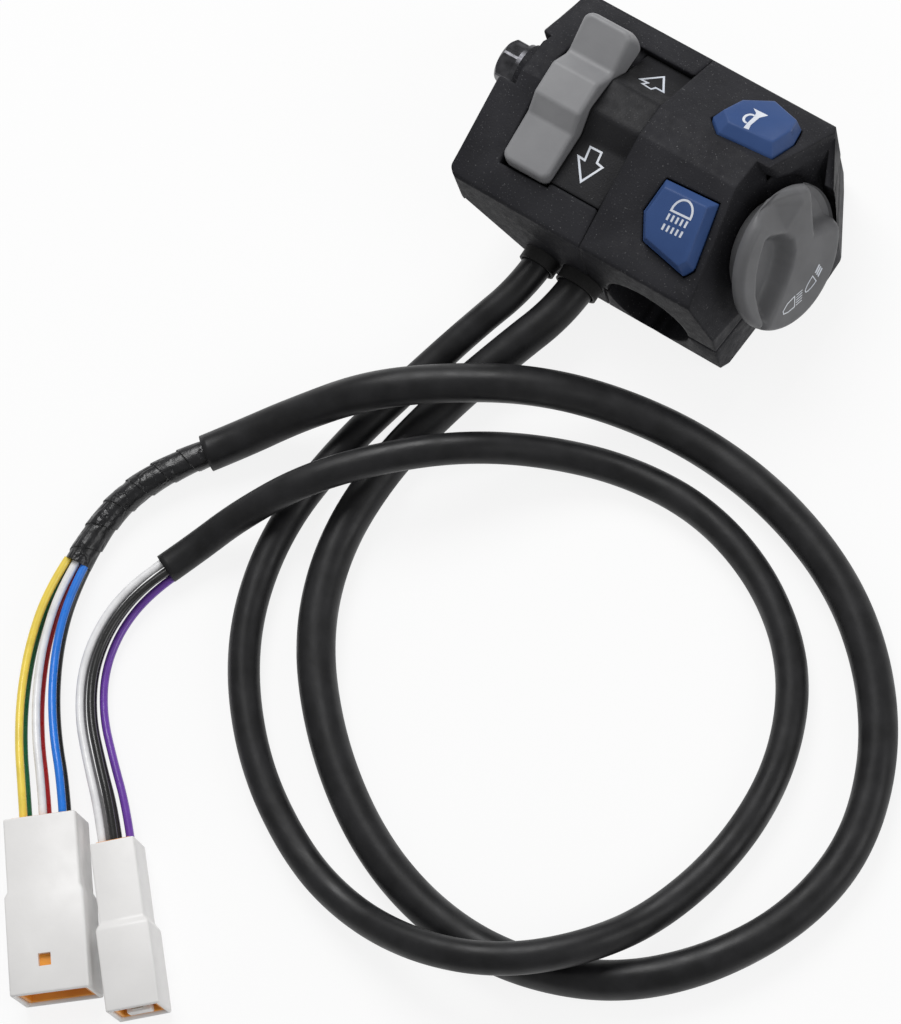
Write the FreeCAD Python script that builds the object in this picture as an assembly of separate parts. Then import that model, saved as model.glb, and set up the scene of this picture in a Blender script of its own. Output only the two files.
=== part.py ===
import FreeCAD, Part
import math
import os

from FreeCAD import Vector

# Left handlebar switch of a motorcycle, lying on its back with its loom laid in a loop.
# Origin on the handlebar's axis, midway along the clamp.
# +X runs from the turn signal rocker to the light knob, +Y along the handlebar, +Z out of the front.
# The case is drawn about the seam between its two halves and then moved to the handlebar's frame.

# Handlebar and case
BAR_DIAMETER = 22.2
BAR_X = 16.0
BAR_Z = -2.0
FLOOR_DROP = 16.0
CLAMP_SPLIT_GAP = 0.8
CLAMP_LEFT_X = 3.4
CLAMP_SCREW_X = 30.6
CLAMP_SCREW_Y = 14.0
CLAMP_SCREW_DIAMETER = 4.0
CLAMP_SCREW_HEAD = 7.0
CLAMP_SCREW_HEAD_HEIGHT = 3.0
CLAMP_SCREW_TOP_Z = 5.0
UNDERSIDE_LEFT_Z = 8.0
UNDERSIDE_TURN_X = 16.0
UNDERSIDE_TURN_Z = -11.0
CLAMP_SIDE_LENGTH = 36.4
BUTTON_SIDE_LENGTH = 43.5
CASE_HALF_WIDTH = 26.0
CASE_UPPER_Y = 29.5
LOWER_EDGE_HEIGHT = 18.0
CREST_START_Y = 1.0
CREST_START_HEIGHT = 28.0
CREST_END_Y = 9.5
CREST_END_HEIGHT = 27.0
UPPER_EDGE_HEIGHT = 14.0
BASE_CHAMFER = 3.0
CLAMP_LOWER_CORNER = 1.6
CLAMP_UPPER_STEP = 1.9
CLAMP_UPPER_CORNER = 3.0
CORNER_ROUNDING = 1.2
PLAN_ROUNDING = 2.0
SEAM_GAP = 0.15

# Slanted end that carries the knob, and the rim round its upper corner
END_TOP_X = 26.0
KNOB_TILT = 70.0
SHOULDER_Y = 9.0
SHOULDER_REACH = 3.4
RIM_WALL = 2.2
RIM_FLOOR_Z = -9.0
RIM_CORNER_X = 33.0
RIM_CORNER_Y = 11.6
FOOT_CORNER_X = 34.6
FOOT_CORNER_Y = -8.0
FOOT_DRAFT = 1.4
FOOT_RISE = 6.0

# Turn signal rocker, its well and the arrow panel beside it
ROCKER_WIDTH = 12.6
ROCKER_CENTRE_X = -19.7
ROCKER_PIVOT_Y = 2.0
ROCKER_PIVOT_Z = 22.0
ROCKER_REACH = 20.0
ROCKER_SIDE_CLEARANCE = 0.3
ROCKER_END_CLEARANCE = 0.4
ROCKER_PIN_DIAMETER = 2.0
ROCKER_PIN_RUNNING_FIT = 0.05
ROCKER_EDGE_ROUNDING = 1.1
ROCKER_END_ROUNDING = 2.2
WELL_FLOOR_Z = 18.9
WELL_END_DEPTH = 3.0
PANEL_GAP = 0.2
PANEL_LOWER_Y = -16.8
PANEL_UPPER_Y = 22.2
PANEL_END_DROP = 6.2

# Clamp bolt across the seam
BOLT_Y = 5.0
BOLT_Z = 15.0
BOLT_DIAMETER = 6.0
BOLT_CLEARANCE = 0.15
BOLT_HEAD_FLATS = 10.0
BOLT_HEAD_HEIGHT = 4.5
BOLT_GRIP = 5.5
WASHER_DIAMETER = 12.5
WASHER_THICKNESS = 1.2
NOTCH_DEPTH = 4.4
BOSS_DIAMETER = 13.4
BOSS_REACH = 3.8
NOTCH_HALF_WIDTH = 7.2
NUT_FLATS = 10.0
NUT_THICKNESS = 5.0

# Push buttons: caps, pockets, springs and contacts
CAP_PROUD = 3.0
CAP_SUNK = 4.5
CAP_TAPER = 0.82
BUTTON_CLEARANCE = 0.3
BUTTON_TRAVEL = 2.0
POCKET_DEPTH = 8.5
STEM_DIAMETER = 5.0
STEM_LENGTH = 0.9
SPRING_WIRE = 0.5
SPRING_DIAMETER = 6.4
SPRING_TURNS = 3
SPRING_BENDS = 12
CONTACT_DIAMETER = 9.0
CONTACT_THICKNESS = 1.0
FLASH_X = 17.7
FLASH_Y = -12.0
HORN_X = 20.3
HORN_Y = 18.6

# Light knob
KNOB_Y = -2.2
KNOB_CENTRE_DROP = 19.8
KNOB_DIAMETER = 35.0
KNOB_HUB_DIAMETER = 24.0
KNOB_HUB_HEIGHT = 3.4
KNOB_SKIRT = 7.2
KNOB_GRIP_HEIGHT = 3.4
KNOB_GRIP_FLARE = 1.1
KNOB_SEAT_GAP = 0.3
SHAFT_DIAMETER = 8.0
SHAFT_RUNNING_FIT = 0.05
SHAFT_END_CLEARANCE = 0.5
SHAFT_LENGTH = 6.5
KNOB_POCKET_CLEARANCE = 1.0

# Cable entry and loom
THIN_SLEEVE_DIAMETER = 7.5
THICK_SLEEVE_DIAMETER = 9.0
TAPE_DIAMETER = 7.0
WIRE_DIAMETER = 2.0
GLAND_WALL = 0.9
GLAND_LENGTH = 5.0
GLAND_COLLAR = 3.0
GLAND_PLAY = 0.3
GLAND_THIN_X = -13.6
GLAND_THICK_X = -2.6
GLAND_Z = -5.0
CORD_FLOOR_Z = -14.0
BEND_SHARE = 0.45

# Plugs
PLUG_WALL = 1.6
PLUG_WIDE = 18.4
PLUG_WIDE_LENGTH = 41.0
PLUG_WIDE_HEIGHT = 13.6
PLUG_WIDE_X = -53.0
PLUG_WIDE_Y = -197.6
PLUG_WIDE_HEADING = -50.1
PLUG_NARROW = 12.4
PLUG_NARROW_LENGTH = 39.0
PLUG_NARROW_HEIGHT = 12.6
PLUG_NARROW_X = -35.7
PLUG_NARROW_Y = -193.3
PLUG_NARROW_HEADING = -46.6
PLUG_ROUNDING = 1.0
PLUG_BACK_STEP = 0.7
PLUG_BACK_LENGTH = 11.0
SEAL_DEPTH = 5.0
SEAL_LENGTH = 2.5
SEAL_WALL = 0.9
MOUTH_DEPTH = 10.0
SOCKET_SIDE = 1.7
SOCKET_DEPTH = 4.0
SOCKET_ROW = 2.2
RETAINER_START = 15.0
RETAINER_LENGTH = 5.0
RETAINER_WIDTH = 6.0
RETAINER_DEPTH = 2.0

X_AXIS = Vector(1, 0, 0)
Y_AXIS = Vector(0, 1, 0)
Z_AXIS = Vector(0, 0, 1)
BAR_RADIUS = BAR_DIAMETER / 2


def box(x0, x1, y0, y1, z0, z1):
    return Part.makeBox(x1 - x0, y1 - y0, z1 - z0, Vector(x0, y0, z0))


def cylinder(radius, base, axis, length):
    return Part.makeCylinder(radius, length, base, axis)


def prism(points, push):
    wire = Part.makePolygon(points + [points[0]])
    return Part.Face(wire).extrude(push)


def plan_prism(outline, z0, z1):
    return prism([Vector(x, y, z0) for x, y in outline], Vector(0, 0, z1 - z0))


def side_prism(profile, x0, x1):
    return prism([Vector(x0, y, z) for y, z in profile], Vector(x1 - x0, 0, 0))


def hexagon(flats, base, axis, length):
    radius = flats / math.sqrt(3)
    corners = [
        Vector(radius * math.cos(turn * math.pi / 3), radius * math.sin(turn * math.pi / 3), 0)
        for turn in range(6)
    ]
    bar = prism(corners, Vector(0, 0, length))
    bar.Placement = FreeCAD.Placement(base, FreeCAD.Rotation(Z_AXIS, axis))
    return bar


def fuse(shapes):
    whole = shapes[0]
    if len(shapes) > 1:
        whole = whole.multiFuse(shapes[1:])
    return whole.removeSplitter()


def rounded(shape, radius, wanted):
    return shape.makeFillet(radius, [edge for edge in shape.Edges if wanted(edge)])


def edge_runs_along(edge, axis):
    first, last = edge.Vertexes[0].Point, edge.Vertexes[-1].Point
    run = last - first
    return run.Length > 0.1 and abs(run.normalize().dot(axis)) > 0.999


# Case section, seen along the handlebar's own side
def case_profile():
    return [
        (-CASE_HALF_WIDTH + BASE_CHAMFER, -FLOOR_DROP),
        (CASE_UPPER_Y - BASE_CHAMFER, -FLOOR_DROP),
        (CASE_UPPER_Y, -FLOOR_DROP + BASE_CHAMFER),
        (CASE_UPPER_Y, UPPER_EDGE_HEIGHT),
        (CREST_END_Y, CREST_END_HEIGHT),
        (CREST_START_Y, CREST_START_HEIGHT),
        (-CASE_HALF_WIDTH, LOWER_EDGE_HEIGHT),
        (-CASE_HALF_WIDTH, -FLOOR_DROP + BASE_CHAMFER),
    ]


def case_block(x0, x1):
    block = side_prism(case_profile(), x0, x1)
    return rounded(block, CORNER_ROUNDING, lambda edge: edge_runs_along(edge, X_AXIS))


def bar_bore():
    start = Vector(BAR_X, -2 * CASE_HALF_WIDTH, BAR_Z)
    return cylinder(BAR_RADIUS, start, Y_AXIS, 4 * CASE_HALF_WIDTH)


# Clamp side of the case: rocker well, panel seat and bolt notch
def well_end(side):
    return ROCKER_PIVOT_Y + side * (ROCKER_REACH + ROCKER_END_CLEARANCE)


def clamp_case():
    width = CLAMP_SIDE_LENGTH
    block = case_block(-width, -SEAM_GAP / 2)
    outline = [
        (-width, -CASE_HALF_WIDTH + CLAMP_LOWER_CORNER),
        (-width + CLAMP_LOWER_CORNER, -CASE_HALF_WIDTH),
        (0, -CASE_HALF_WIDTH),
        (0, CASE_UPPER_Y),
        (-width + CLAMP_UPPER_STEP + CLAMP_UPPER_CORNER, CASE_UPPER_Y),
        (-width + CLAMP_UPPER_STEP, CASE_UPPER_Y - CLAMP_UPPER_CORNER),
        (-width + CLAMP_UPPER_STEP, BOLT_Y),
        (-width, BOLT_Y),
    ]
    plan = plan_prism(outline, -FLOOR_DROP, 2 * CREST_START_HEIGHT)

    def outer_corner(edge):
        middle = edge.CenterOfMass
        return edge_runs_along(edge, Z_AXIS) and middle.x < -1 and abs(middle.y - BOLT_Y) > 1

    plan = rounded(plan, PLAN_ROUNDING, outer_corner)
    block = block.common(plan)
    top = 2 * CREST_START_HEIGHT
    well_left = ROCKER_CENTRE_X - ROCKER_WIDTH / 2 - ROCKER_SIDE_CLEARANCE
    well_right = ROCKER_CENTRE_X + ROCKER_WIDTH / 2 + ROCKER_SIDE_CLEARANCE
    well = side_prism(
        [
            (well_end(-1), WELL_FLOOR_Z - WELL_END_DEPTH),
            (BOLT_Y - 9, WELL_FLOOR_Z - WELL_END_DEPTH),
            (BOLT_Y - 6, WELL_FLOOR_Z),
            (BOLT_Y + 3.5, WELL_FLOOR_Z),
            (BOLT_Y + 7, WELL_FLOOR_Z - WELL_END_DEPTH),
            (well_end(1), WELL_FLOOR_Z - WELL_END_DEPTH),
            (well_end(1), top),
            (well_end(-1), top),
        ],
        well_left,
        well_right,
    )
    seat = side_prism(panel_seat_profile(top), well_right - 0.01, 0)
    pin_hole = cylinder(
        ROCKER_PIN_DIAMETER / 2,
        Vector(well_left - 2.5, ROCKER_PIVOT_Y, ROCKER_PIVOT_Z),
        X_AXIS,
        5,
    )
    notch = box(
        -width - 1,
        -width + NOTCH_DEPTH,
        BOLT_Y - NOTCH_HALF_WIDTH,
        BOLT_Y + NOTCH_HALF_WIDTH,
        BOLT_Z - NOTCH_HALF_WIDTH,
        top,
    )
    hole = cylinder(
        BOLT_DIAMETER / 2 + BOLT_CLEARANCE,
        Vector(-width - 1, BOLT_Y, BOLT_Z),
        X_AXIS,
        width + 2,
    )
    underside = prism(
        [
            Vector(-2 * width, -top, -top),
            Vector(-UNDERSIDE_TURN_X + 5, -top, -top),
            Vector(-UNDERSIDE_TURN_X + 5, -top, -FLOOR_DROP),
            Vector(-UNDERSIDE_TURN_X, -top, UNDERSIDE_TURN_Z),
            Vector(-width - 1, -top, UNDERSIDE_LEFT_Z),
            Vector(-2 * width, -top, UNDERSIDE_LEFT_Z),
        ],
        Vector(0, 2 * top, 0),
    )
    boss = cylinder(BOSS_DIAMETER / 2, Vector(bolt_seat_x(), BOLT_Y, BOLT_Z), X_AXIS, BOSS_REACH + 1)
    block = fuse([block.cut([notch, underside]), boss])
    return block.cut([well, seat, pin_hole, hole, thin_gland_seat(), thick_gland_seat()])


def panel_seat_profile(top):
    return [
        (PANEL_LOWER_Y - PANEL_GAP, WELL_FLOOR_Z),
        (BOLT_Y + 5, WELL_FLOOR_Z),
        (PANEL_UPPER_Y, WELL_FLOOR_Z - PANEL_END_DROP),
        (PANEL_UPPER_Y + PANEL_GAP, WELL_FLOOR_Z - PANEL_END_DROP),
        (PANEL_UPPER_Y + PANEL_GAP, top),
        (PANEL_LOWER_Y - PANEL_GAP, top),
    ]


# Arrow panel: a wave of two finger hollows with a hump between them
def signal_panel():
    profile = [
        (PANEL_LOWER_Y, WELL_FLOOR_Z),
        (BOLT_Y + 5, WELL_FLOOR_Z),
        (PANEL_UPPER_Y, WELL_FLOOR_Z - PANEL_END_DROP),
        (PANEL_UPPER_Y, 16.3),
        (14.2, 21.6),
        (CREST_END_Y + 0.5, CREST_END_HEIGHT - 1.0),
        (CREST_START_Y, CREST_START_HEIGHT - 1.0),
        (-4.0, 22.3),
        (PANEL_LOWER_Y, 21.2),
    ]
    panel = side_prism(
        profile,
        ROCKER_CENTRE_X + ROCKER_WIDTH / 2 + ROCKER_SIDE_CLEARANCE,
        -SEAM_GAP / 2,
    )

    def hollow_or_hump(edge):
        middle = edge.CenterOfMass
        return edge_runs_along(edge, X_AXIS) and middle.z > 20 and PANEL_LOWER_Y + 1 < middle.y < 18

    return rounded(panel, 2.0, hollow_or_hump)


# Turn signal rocker, resting with its lower end pressed in
def rocker_profile_face(reach):
    pivot = Vector(0, ROCKER_PIVOT_Y, ROCKER_PIVOT_Z)
    low = math.radians(180 + 6)
    low_top = math.radians(180 - 5)
    high = math.radians(-2)
    high_top = math.radians(29)

    def on_arc(turn):
        return pivot + Vector(0, reach * math.cos(turn), reach * math.sin(turn))

    start, start_mid, start_end = on_arc(low), on_arc((low + low_top) / 2), on_arc(low_top)
    end, end_mid, end_top = on_arc(high), on_arc((high + high_top) / 2), on_arc(high_top)
    top = [
        start_end,
        Vector(0, -6.4, 26.2),
        Vector(0, -2.6, 29.9),
        Vector(0, 5.6, 31.0),
        Vector(0, 10.4, 26.8),
        end_top,
    ]
    under = [end, Vector(0, 9.0, 20.9), Vector(0, -4.0, 20.2), start]
    edges = [Part.Arc(start, start_mid, start_end).toShape()]
    edges += [Part.makeLine(top[i], top[i + 1]) for i in range(len(top) - 1)]
    edges.append(Part.Arc(end_top, end_mid, end).toShape())
    edges += [Part.makeLine(under[i], under[i + 1]) for i in range(len(under) - 1)]
    return Part.Face(Part.Wire(edges))


def signal_rocker():
    face = rocker_profile_face(ROCKER_REACH)
    face.translate(Vector(ROCKER_CENTRE_X - ROCKER_WIDTH / 2, 0, 0))
    body = face.extrude(Vector(ROCKER_WIDTH, 0, 0))

    def wave_crease(edge):
        middle = edge.CenterOfMass
        return edge_runs_along(edge, X_AXIS) and middle.z > 24.5 and -8 < middle.y < 14

    def end_corner(edge):
        middle = edge.CenterOfMass
        beside = abs(abs(middle.x - ROCKER_CENTRE_X) - ROCKER_WIDTH / 2) < 0.01
        return beside and abs(middle.y - ROCKER_PIVOT_Y) > ROCKER_REACH - 1.5

    body = rounded(body, ROCKER_END_ROUNDING, end_corner)
    body = rounded(body, 1.6, wave_crease)

    def top_side(edge):
        middle = edge.CenterOfMass
        beside = abs(abs(middle.x - ROCKER_CENTRE_X) - ROCKER_WIDTH / 2) < 0.01
        return beside and middle.z > 22.6 and abs(middle.y - ROCKER_PIVOT_Y) < ROCKER_REACH - 1.5

    body = rounded(body, ROCKER_EDGE_ROUNDING, top_side)
    hole = cylinder(
        ROCKER_PIN_DIAMETER / 2 + ROCKER_PIN_RUNNING_FIT,
        Vector(ROCKER_CENTRE_X - ROCKER_WIDTH, ROCKER_PIVOT_Y, ROCKER_PIVOT_Z),
        X_AXIS,
        2 * ROCKER_WIDTH,
    )
    return body.cut(hole)


def rocker_pin():
    left = ROCKER_CENTRE_X - ROCKER_WIDTH / 2 - ROCKER_SIDE_CLEARANCE - 2.4
    right = ROCKER_CENTRE_X + ROCKER_WIDTH / 2 + ROCKER_SIDE_CLEARANCE
    start = Vector(left, ROCKER_PIVOT_Y, ROCKER_PIVOT_Z)
    return cylinder(ROCKER_PIN_DIAMETER / 2, start, X_AXIS, right - left)


# Clamp bolt, washer and nut, seated on a boss in the notch
def bolt_seat_x():
    return -CLAMP_SIDE_LENGTH + NOTCH_DEPTH - BOSS_REACH


def clamp_bolt():
    seat = bolt_seat_x() - WASHER_THICKNESS
    head = hexagon(BOLT_HEAD_FLATS, Vector(seat, BOLT_Y, BOLT_Z), -X_AXIS, BOLT_HEAD_HEIGHT)
    cap = cylinder(
        BOLT_HEAD_FLATS / 2 * 1.12,
        Vector(seat, BOLT_Y, BOLT_Z),
        -X_AXIS,
        BOLT_HEAD_HEIGHT,
    )
    outer = [edge for edge in cap.Edges if abs(edge.CenterOfMass.x - seat + BOLT_HEAD_HEIGHT) < 0.01]
    cap = cap.makeChamfer(0.7, outer)
    shank = cylinder(
        BOLT_DIAMETER / 2,
        Vector(seat - 0.01, BOLT_Y, BOLT_Z),
        X_AXIS,
        BOLT_GRIP + NUT_THICKNESS - seat,
    )
    return fuse([head.common(cap), shank])


def washer():
    seat = bolt_seat_x() - WASHER_THICKNESS
    disc = cylinder(WASHER_DIAMETER / 2, Vector(seat, BOLT_Y, BOLT_Z), X_AXIS, WASHER_THICKNESS)
    hole = cylinder(
        BOLT_DIAMETER / 2 + BOLT_CLEARANCE,
        Vector(seat - 1, BOLT_Y, BOLT_Z),
        X_AXIS,
        WASHER_THICKNESS + 2,
    )
    return disc.cut(hole)


def clamp_nut():
    nut = hexagon(NUT_FLATS, Vector(BOLT_GRIP, BOLT_Y, BOLT_Z), X_AXIS, NUT_THICKNESS)
    hole = cylinder(BOLT_DIAMETER / 2, Vector(0, BOLT_Y, BOLT_Z), X_AXIS, 2 * BOLT_GRIP + NUT_THICKNESS)
    return nut.cut(hole)


# Slanted end of the button side
def end_normal():
    tilt = math.radians(KNOB_TILT)
    return Vector(math.sin(tilt), 0, math.cos(tilt))


def end_x(z):
    return END_TOP_X + (CREST_START_HEIGHT - z) / math.tan(math.radians(KNOB_TILT))


def knob_centre():
    z = CREST_START_HEIGHT - KNOB_CENTRE_DROP
    return Vector(end_x(z), KNOB_Y, z)


def beyond_end(y0, y1, z0, z1):
    far = 2 * BUTTON_SIDE_LENGTH
    profile = [
        Vector(end_x(z0), y0, z0),
        Vector(far, y0, z0),
        Vector(far, y0, z1),
        Vector(end_x(z1), y0, z1),
    ]
    return prism(profile, Vector(0, y1 - y0, 0))


def button_outline(inset):
    far = BUTTON_SIDE_LENGTH - inset
    return [
        (0, -CASE_HALF_WIDTH + inset),
        (FOOT_CORNER_X - inset, -CASE_HALF_WIDTH + inset),
        (FOOT_CORNER_X + FOOT_DRAFT - inset, FOOT_CORNER_Y),
        (far, FOOT_CORNER_Y + FOOT_RISE),
        (far, RIM_CORNER_Y - inset / 2),
        (RIM_CORNER_X, CASE_UPPER_Y - inset),
        (0, CASE_UPPER_Y - inset),
    ]


def past_shoulder(z0, z1):
    far_y = 2 * CREST_START_HEIGHT
    lower = beyond_end(-far_y, SHOULDER_Y, z0, z1)
    upper = beyond_end(SHOULDER_Y, far_y, z0, z1)
    upper.translate(Vector(SHOULDER_REACH, 0, 0))
    return fuse([lower, upper])


def knob_recess():
    top = 2 * CREST_START_HEIGHT
    inside = plan_prism(button_outline(RIM_WALL), RIM_FLOOR_Z, top)
    inside = inside.common(past_shoulder(RIM_FLOOR_Z, top))
    open_side = beyond_end(-2 * CASE_HALF_WIDTH, KNOB_Y, -2 * FLOOR_DROP, top)
    above_rim = past_shoulder(UPPER_EDGE_HEIGHT, top)
    pocket_radius = KNOB_DIAMETER / 2 + KNOB_POCKET_CLEARANCE
    round_knob = cylinder(pocket_radius, knob_centre(), end_normal(), 2 * KNOB_DIAMETER)
    return [inside, open_side, above_rim, round_knob]


def button_case():
    block = case_block(SEAM_GAP / 2, BUTTON_SIDE_LENGTH)
    top = 2 * CREST_START_HEIGHT
    block = block.common(plan_prism(button_outline(0), -FLOOR_DROP, top))
    centre = knob_centre()
    shaft_bore = cylinder(
        SHAFT_DIAMETER / 2 + SHAFT_RUNNING_FIT,
        centre - end_normal() * (SHAFT_LENGTH + SHAFT_END_CLEARANCE),
        end_normal(),
        SHAFT_LENGTH + 5,
    )
    hole = cylinder(BOLT_DIAMETER / 2 + BOLT_CLEARANCE, Vector(-1, BOLT_Y, BOLT_Z), X_AXIS, BOLT_GRIP + 2)
    nut_pocket = hexagon(
        NUT_FLATS + 2 * BOLT_CLEARANCE,
        Vector(BOLT_GRIP, BOLT_Y, BOLT_Z),
        X_AXIS,
        NUT_THICKNESS + BOLT_CLEARANCE,
    )
    cuts = knob_recess() + [shaft_bore, hole, nut_pocket, bar_bore()]
    cuts += [button_pocket(flash_outline(), flash_frame()), button_pocket(horn_outline(), horn_frame())]
    cuts += [thick_gland_seat(), clamp_space(0), clamp_screw_holes(CLAMP_SCREW_DIAMETER / 2)]
    return block.cut(cuts)


# Lower half of the handlebar clamp, held by two screws from below
def clamp_space(gap):
    return box(
        CLAMP_LEFT_X + gap / 2,
        2 * BUTTON_SIDE_LENGTH,
        -2 * CASE_HALF_WIDTH,
        2 * CASE_HALF_WIDTH,
        -3 * FLOOR_DROP,
        BAR_Z - gap,
    )


def clamp_screw_holes(radius):
    holes = [
        cylinder(
            radius,
            Vector(CLAMP_SCREW_X, side * CLAMP_SCREW_Y, -2 * FLOOR_DROP),
            Z_AXIS,
            2 * FLOOR_DROP + CLAMP_SCREW_TOP_Z,
        )
        for side in (-1, 1)
    ]
    return Part.makeCompound(holes)


def clamp_half():
    block = case_block(SEAM_GAP / 2, BUTTON_SIDE_LENGTH)
    block = block.common(plan_prism(button_outline(0), -FLOOR_DROP, BAR_Z))
    block = block.common(clamp_space(CLAMP_SPLIT_GAP))
    heads = [
        cylinder(
            CLAMP_SCREW_HEAD / 2 + BOLT_CLEARANCE,
            Vector(CLAMP_SCREW_X, side * CLAMP_SCREW_Y, -FLOOR_DROP - 1),
            Z_AXIS,
            CLAMP_SCREW_HEAD_HEIGHT + 1.5,
        )
        for side in (-1, 1)
    ]
    holes = clamp_screw_holes(CLAMP_SCREW_DIAMETER / 2 + BOLT_CLEARANCE)
    return block.cut(heads + knob_recess() + [holes, bar_bore()])


def clamp_screw(side):
    base = Vector(CLAMP_SCREW_X, side * CLAMP_SCREW_Y, -FLOOR_DROP + 0.5)
    head = cylinder(CLAMP_SCREW_HEAD / 2, base, Z_AXIS, CLAMP_SCREW_HEAD_HEIGHT)
    socket = hexagon(3.0, base - Z_AXIS, Z_AXIS, 2.6)
    shank = cylinder(CLAMP_SCREW_DIAMETER / 2, base, Z_AXIS, FLOOR_DROP - 0.5 + CLAMP_SCREW_TOP_Z)
    return fuse([head, shank]).cut(socket)


# Push buttons: each works in its own tilted frame, on the lower or the upper slope of the case
def slope_frame(x, y, y0, z0, y1, z1):
    height = z0 + (y - y0) * (z1 - z0) / (y1 - y0)
    along = Vector(0, y1 - y0, z1 - z0).normalize()
    normal = X_AXIS.cross(along)
    rotation = FreeCAD.Rotation(X_AXIS, along, normal, "ZXY")
    return FreeCAD.Placement(Vector(x, y, height), rotation)


def flash_frame():
    return slope_frame(
        FLASH_X, FLASH_Y, -CASE_HALF_WIDTH, LOWER_EDGE_HEIGHT, CREST_START_Y, CREST_START_HEIGHT
    )


def horn_frame():
    return slope_frame(
        HORN_X, HORN_Y, CREST_END_Y, CREST_END_HEIGHT, CASE_UPPER_Y, UPPER_EDGE_HEIGHT
    )


def flash_outline():
    return [(-8.0, -0.6), (-4.8, -6.6), (7.2, -9.0), (8.8, -6.6), (6.6, 8.8), (-6.8, 8.0)]


def horn_outline():
    lower = [(-9.2, -5.8), (-5.4, -9.6), (8.0, -8.0), (9.0, 0)]
    return lower + [(7.8, 5.4), (-1.0, 8.2), (-7.6, 2.0)]


def local_prism(outline, z0, z1):
    return prism([Vector(x, y, z0) for x, y in outline], Vector(0, 0, z1 - z0))


def button_cap(outline, frame):
    wall = local_prism(outline, -CAP_SUNK, 0.4)
    low = Part.makePolygon([Vector(x, y, 0.4) for x, y in outline + outline[:1]])
    high = Part.makePolygon(
        [Vector(CAP_TAPER * x, CAP_TAPER * y, CAP_PROUD) for x, y in outline + outline[:1]]
    )
    crown = Part.makeLoft([low, high], True)
    stem = cylinder(STEM_DIAMETER / 2, Vector(0, 0, -CAP_SUNK - STEM_LENGTH), Z_AXIS, STEM_LENGTH + 1)
    cap = fuse([wall, crown, stem])
    cap = rounded(cap, 0.6, lambda edge: edge.CenterOfMass.z > 0.5)
    cap.Placement = frame
    return cap


def button_pocket(outline, frame):
    grown = [
        (x * (1 + BUTTON_CLEARANCE / 6), y * (1 + BUTTON_CLEARANCE / 6)) for x, y in outline
    ]
    pocket = local_prism(grown, -POCKET_DEPTH, 3 * CAP_PROUD)
    pocket.Placement = frame
    return pocket


def button_spring(frame):
    start = -POCKET_DEPTH + CONTACT_THICKNESS + SPRING_WIRE / 2 + 0.05
    end = -CAP_SUNK - SPRING_WIRE / 2 - 0.05
    pitch = (end - start) / SPRING_TURNS
    radius = SPRING_DIAMETER / 2
    bends = SPRING_TURNS * SPRING_BENDS
    points = []
    for i in range(bends + 1):
        turn = 2 * math.pi * i / SPRING_BENDS
        rise = start + pitch * i / SPRING_BENDS
        points.append(Vector(radius * math.cos(turn), radius * math.sin(turn), rise))
    half = SPRING_WIRE / 2
    corners = [(-half, -half), (half, -half), (half, half), (-half, half), (-half, -half)]
    section = Part.makePolygon([points[0] + Vector(x, 0, z) for x, z in corners])
    coil = Part.makePolygon(points).makePipeShell([section], True, False, 1)
    coil.Placement = frame
    return coil


def button_contact(frame):
    plate = cylinder(CONTACT_DIAMETER / 2, Vector(0, 0, -POCKET_DEPTH), Z_AXIS, CONTACT_THICKNESS)
    plate.Placement = frame
    return plate


# Light knob: a thick disc whose raised face narrows to a pointer between two finger hollows
def knob_grip(radius):
    pointer = [(-15.6, -5.6), (-8.3, -3.4), (-1.4, -0.8), (2.2, 8.6), (10.4, 8.2), (6.9, 0.8), (15.0, -6.6)]
    outline = pointer + [(2 * radius, -radius / 2), (2 * radius, -2 * radius)]
    outline += [(-2 * radius, -2 * radius), (-2 * radius, -radius / 2)]
    top = KNOB_SKIRT + KNOB_GRIP_HEIGHT
    low = [Vector(KNOB_GRIP_FLARE * x, KNOB_GRIP_FLARE * y + 0.4, KNOB_SKIRT - 0.5) for x, y in outline]
    high = [Vector(x, y, top) for x, y in outline]
    grip = Part.makeLoft([Part.makePolygon(low + low[:1]), Part.makePolygon(high + high[:1])], True, True)
    dome = Part.makeCone(radius - 0.4, radius - 1.4, KNOB_GRIP_HEIGHT + 0.5, Vector(0, 0, KNOB_SKIRT - 0.5))
    return grip.common(dome)


def light_knob():
    edge_height = KNOB_SKIRT - 1.6
    radius = KNOB_DIAMETER / 2
    profile = Part.makePolygon(
        [
            Vector(0, 0, KNOB_SEAT_GAP),
            Vector(KNOB_HUB_DIAMETER / 2, 0, KNOB_SEAT_GAP),
            Vector(KNOB_HUB_DIAMETER / 2, 0, KNOB_HUB_HEIGHT),
            Vector(radius - 0.6, 0, KNOB_HUB_HEIGHT),
            Vector(radius, 0, KNOB_HUB_HEIGHT + 0.8),
            Vector(radius - 0.4, 0, edge_height),
            Vector(radius - 2.0, 0, KNOB_SKIRT),
            Vector(0, 0, KNOB_SKIRT),
            Vector(0, 0, KNOB_SEAT_GAP),
        ]
    )
    disc = Part.Face(profile).revolve(Vector(), Z_AXIS, 360)
    grip = knob_grip(radius)
    shaft = cylinder(SHAFT_DIAMETER / 2, Vector(0, 0, -SHAFT_LENGTH), Z_AXIS, SHAFT_LENGTH + 1)
    knob = fuse([disc, grip, shaft])
    knob.Placement = FreeCAD.Placement(
        knob_centre(), FreeCAD.Rotation(Y_AXIS, end_normal().cross(Y_AXIS), end_normal(), "ZXY")
    )
    return knob


# Cable glands, each a rubber collar whose bore takes the end of a sleeve
def gland_seat(x, diameter):
    start = Vector(x, -CASE_HALF_WIDTH - GLAND_COLLAR, GLAND_Z)
    return cylinder(diameter / 2 + GLAND_WALL, start, Y_AXIS, GLAND_LENGTH + GLAND_COLLAR)


def thin_gland_seat():
    return gland_seat(GLAND_THIN_X, THIN_SLEEVE_DIAMETER)


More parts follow.
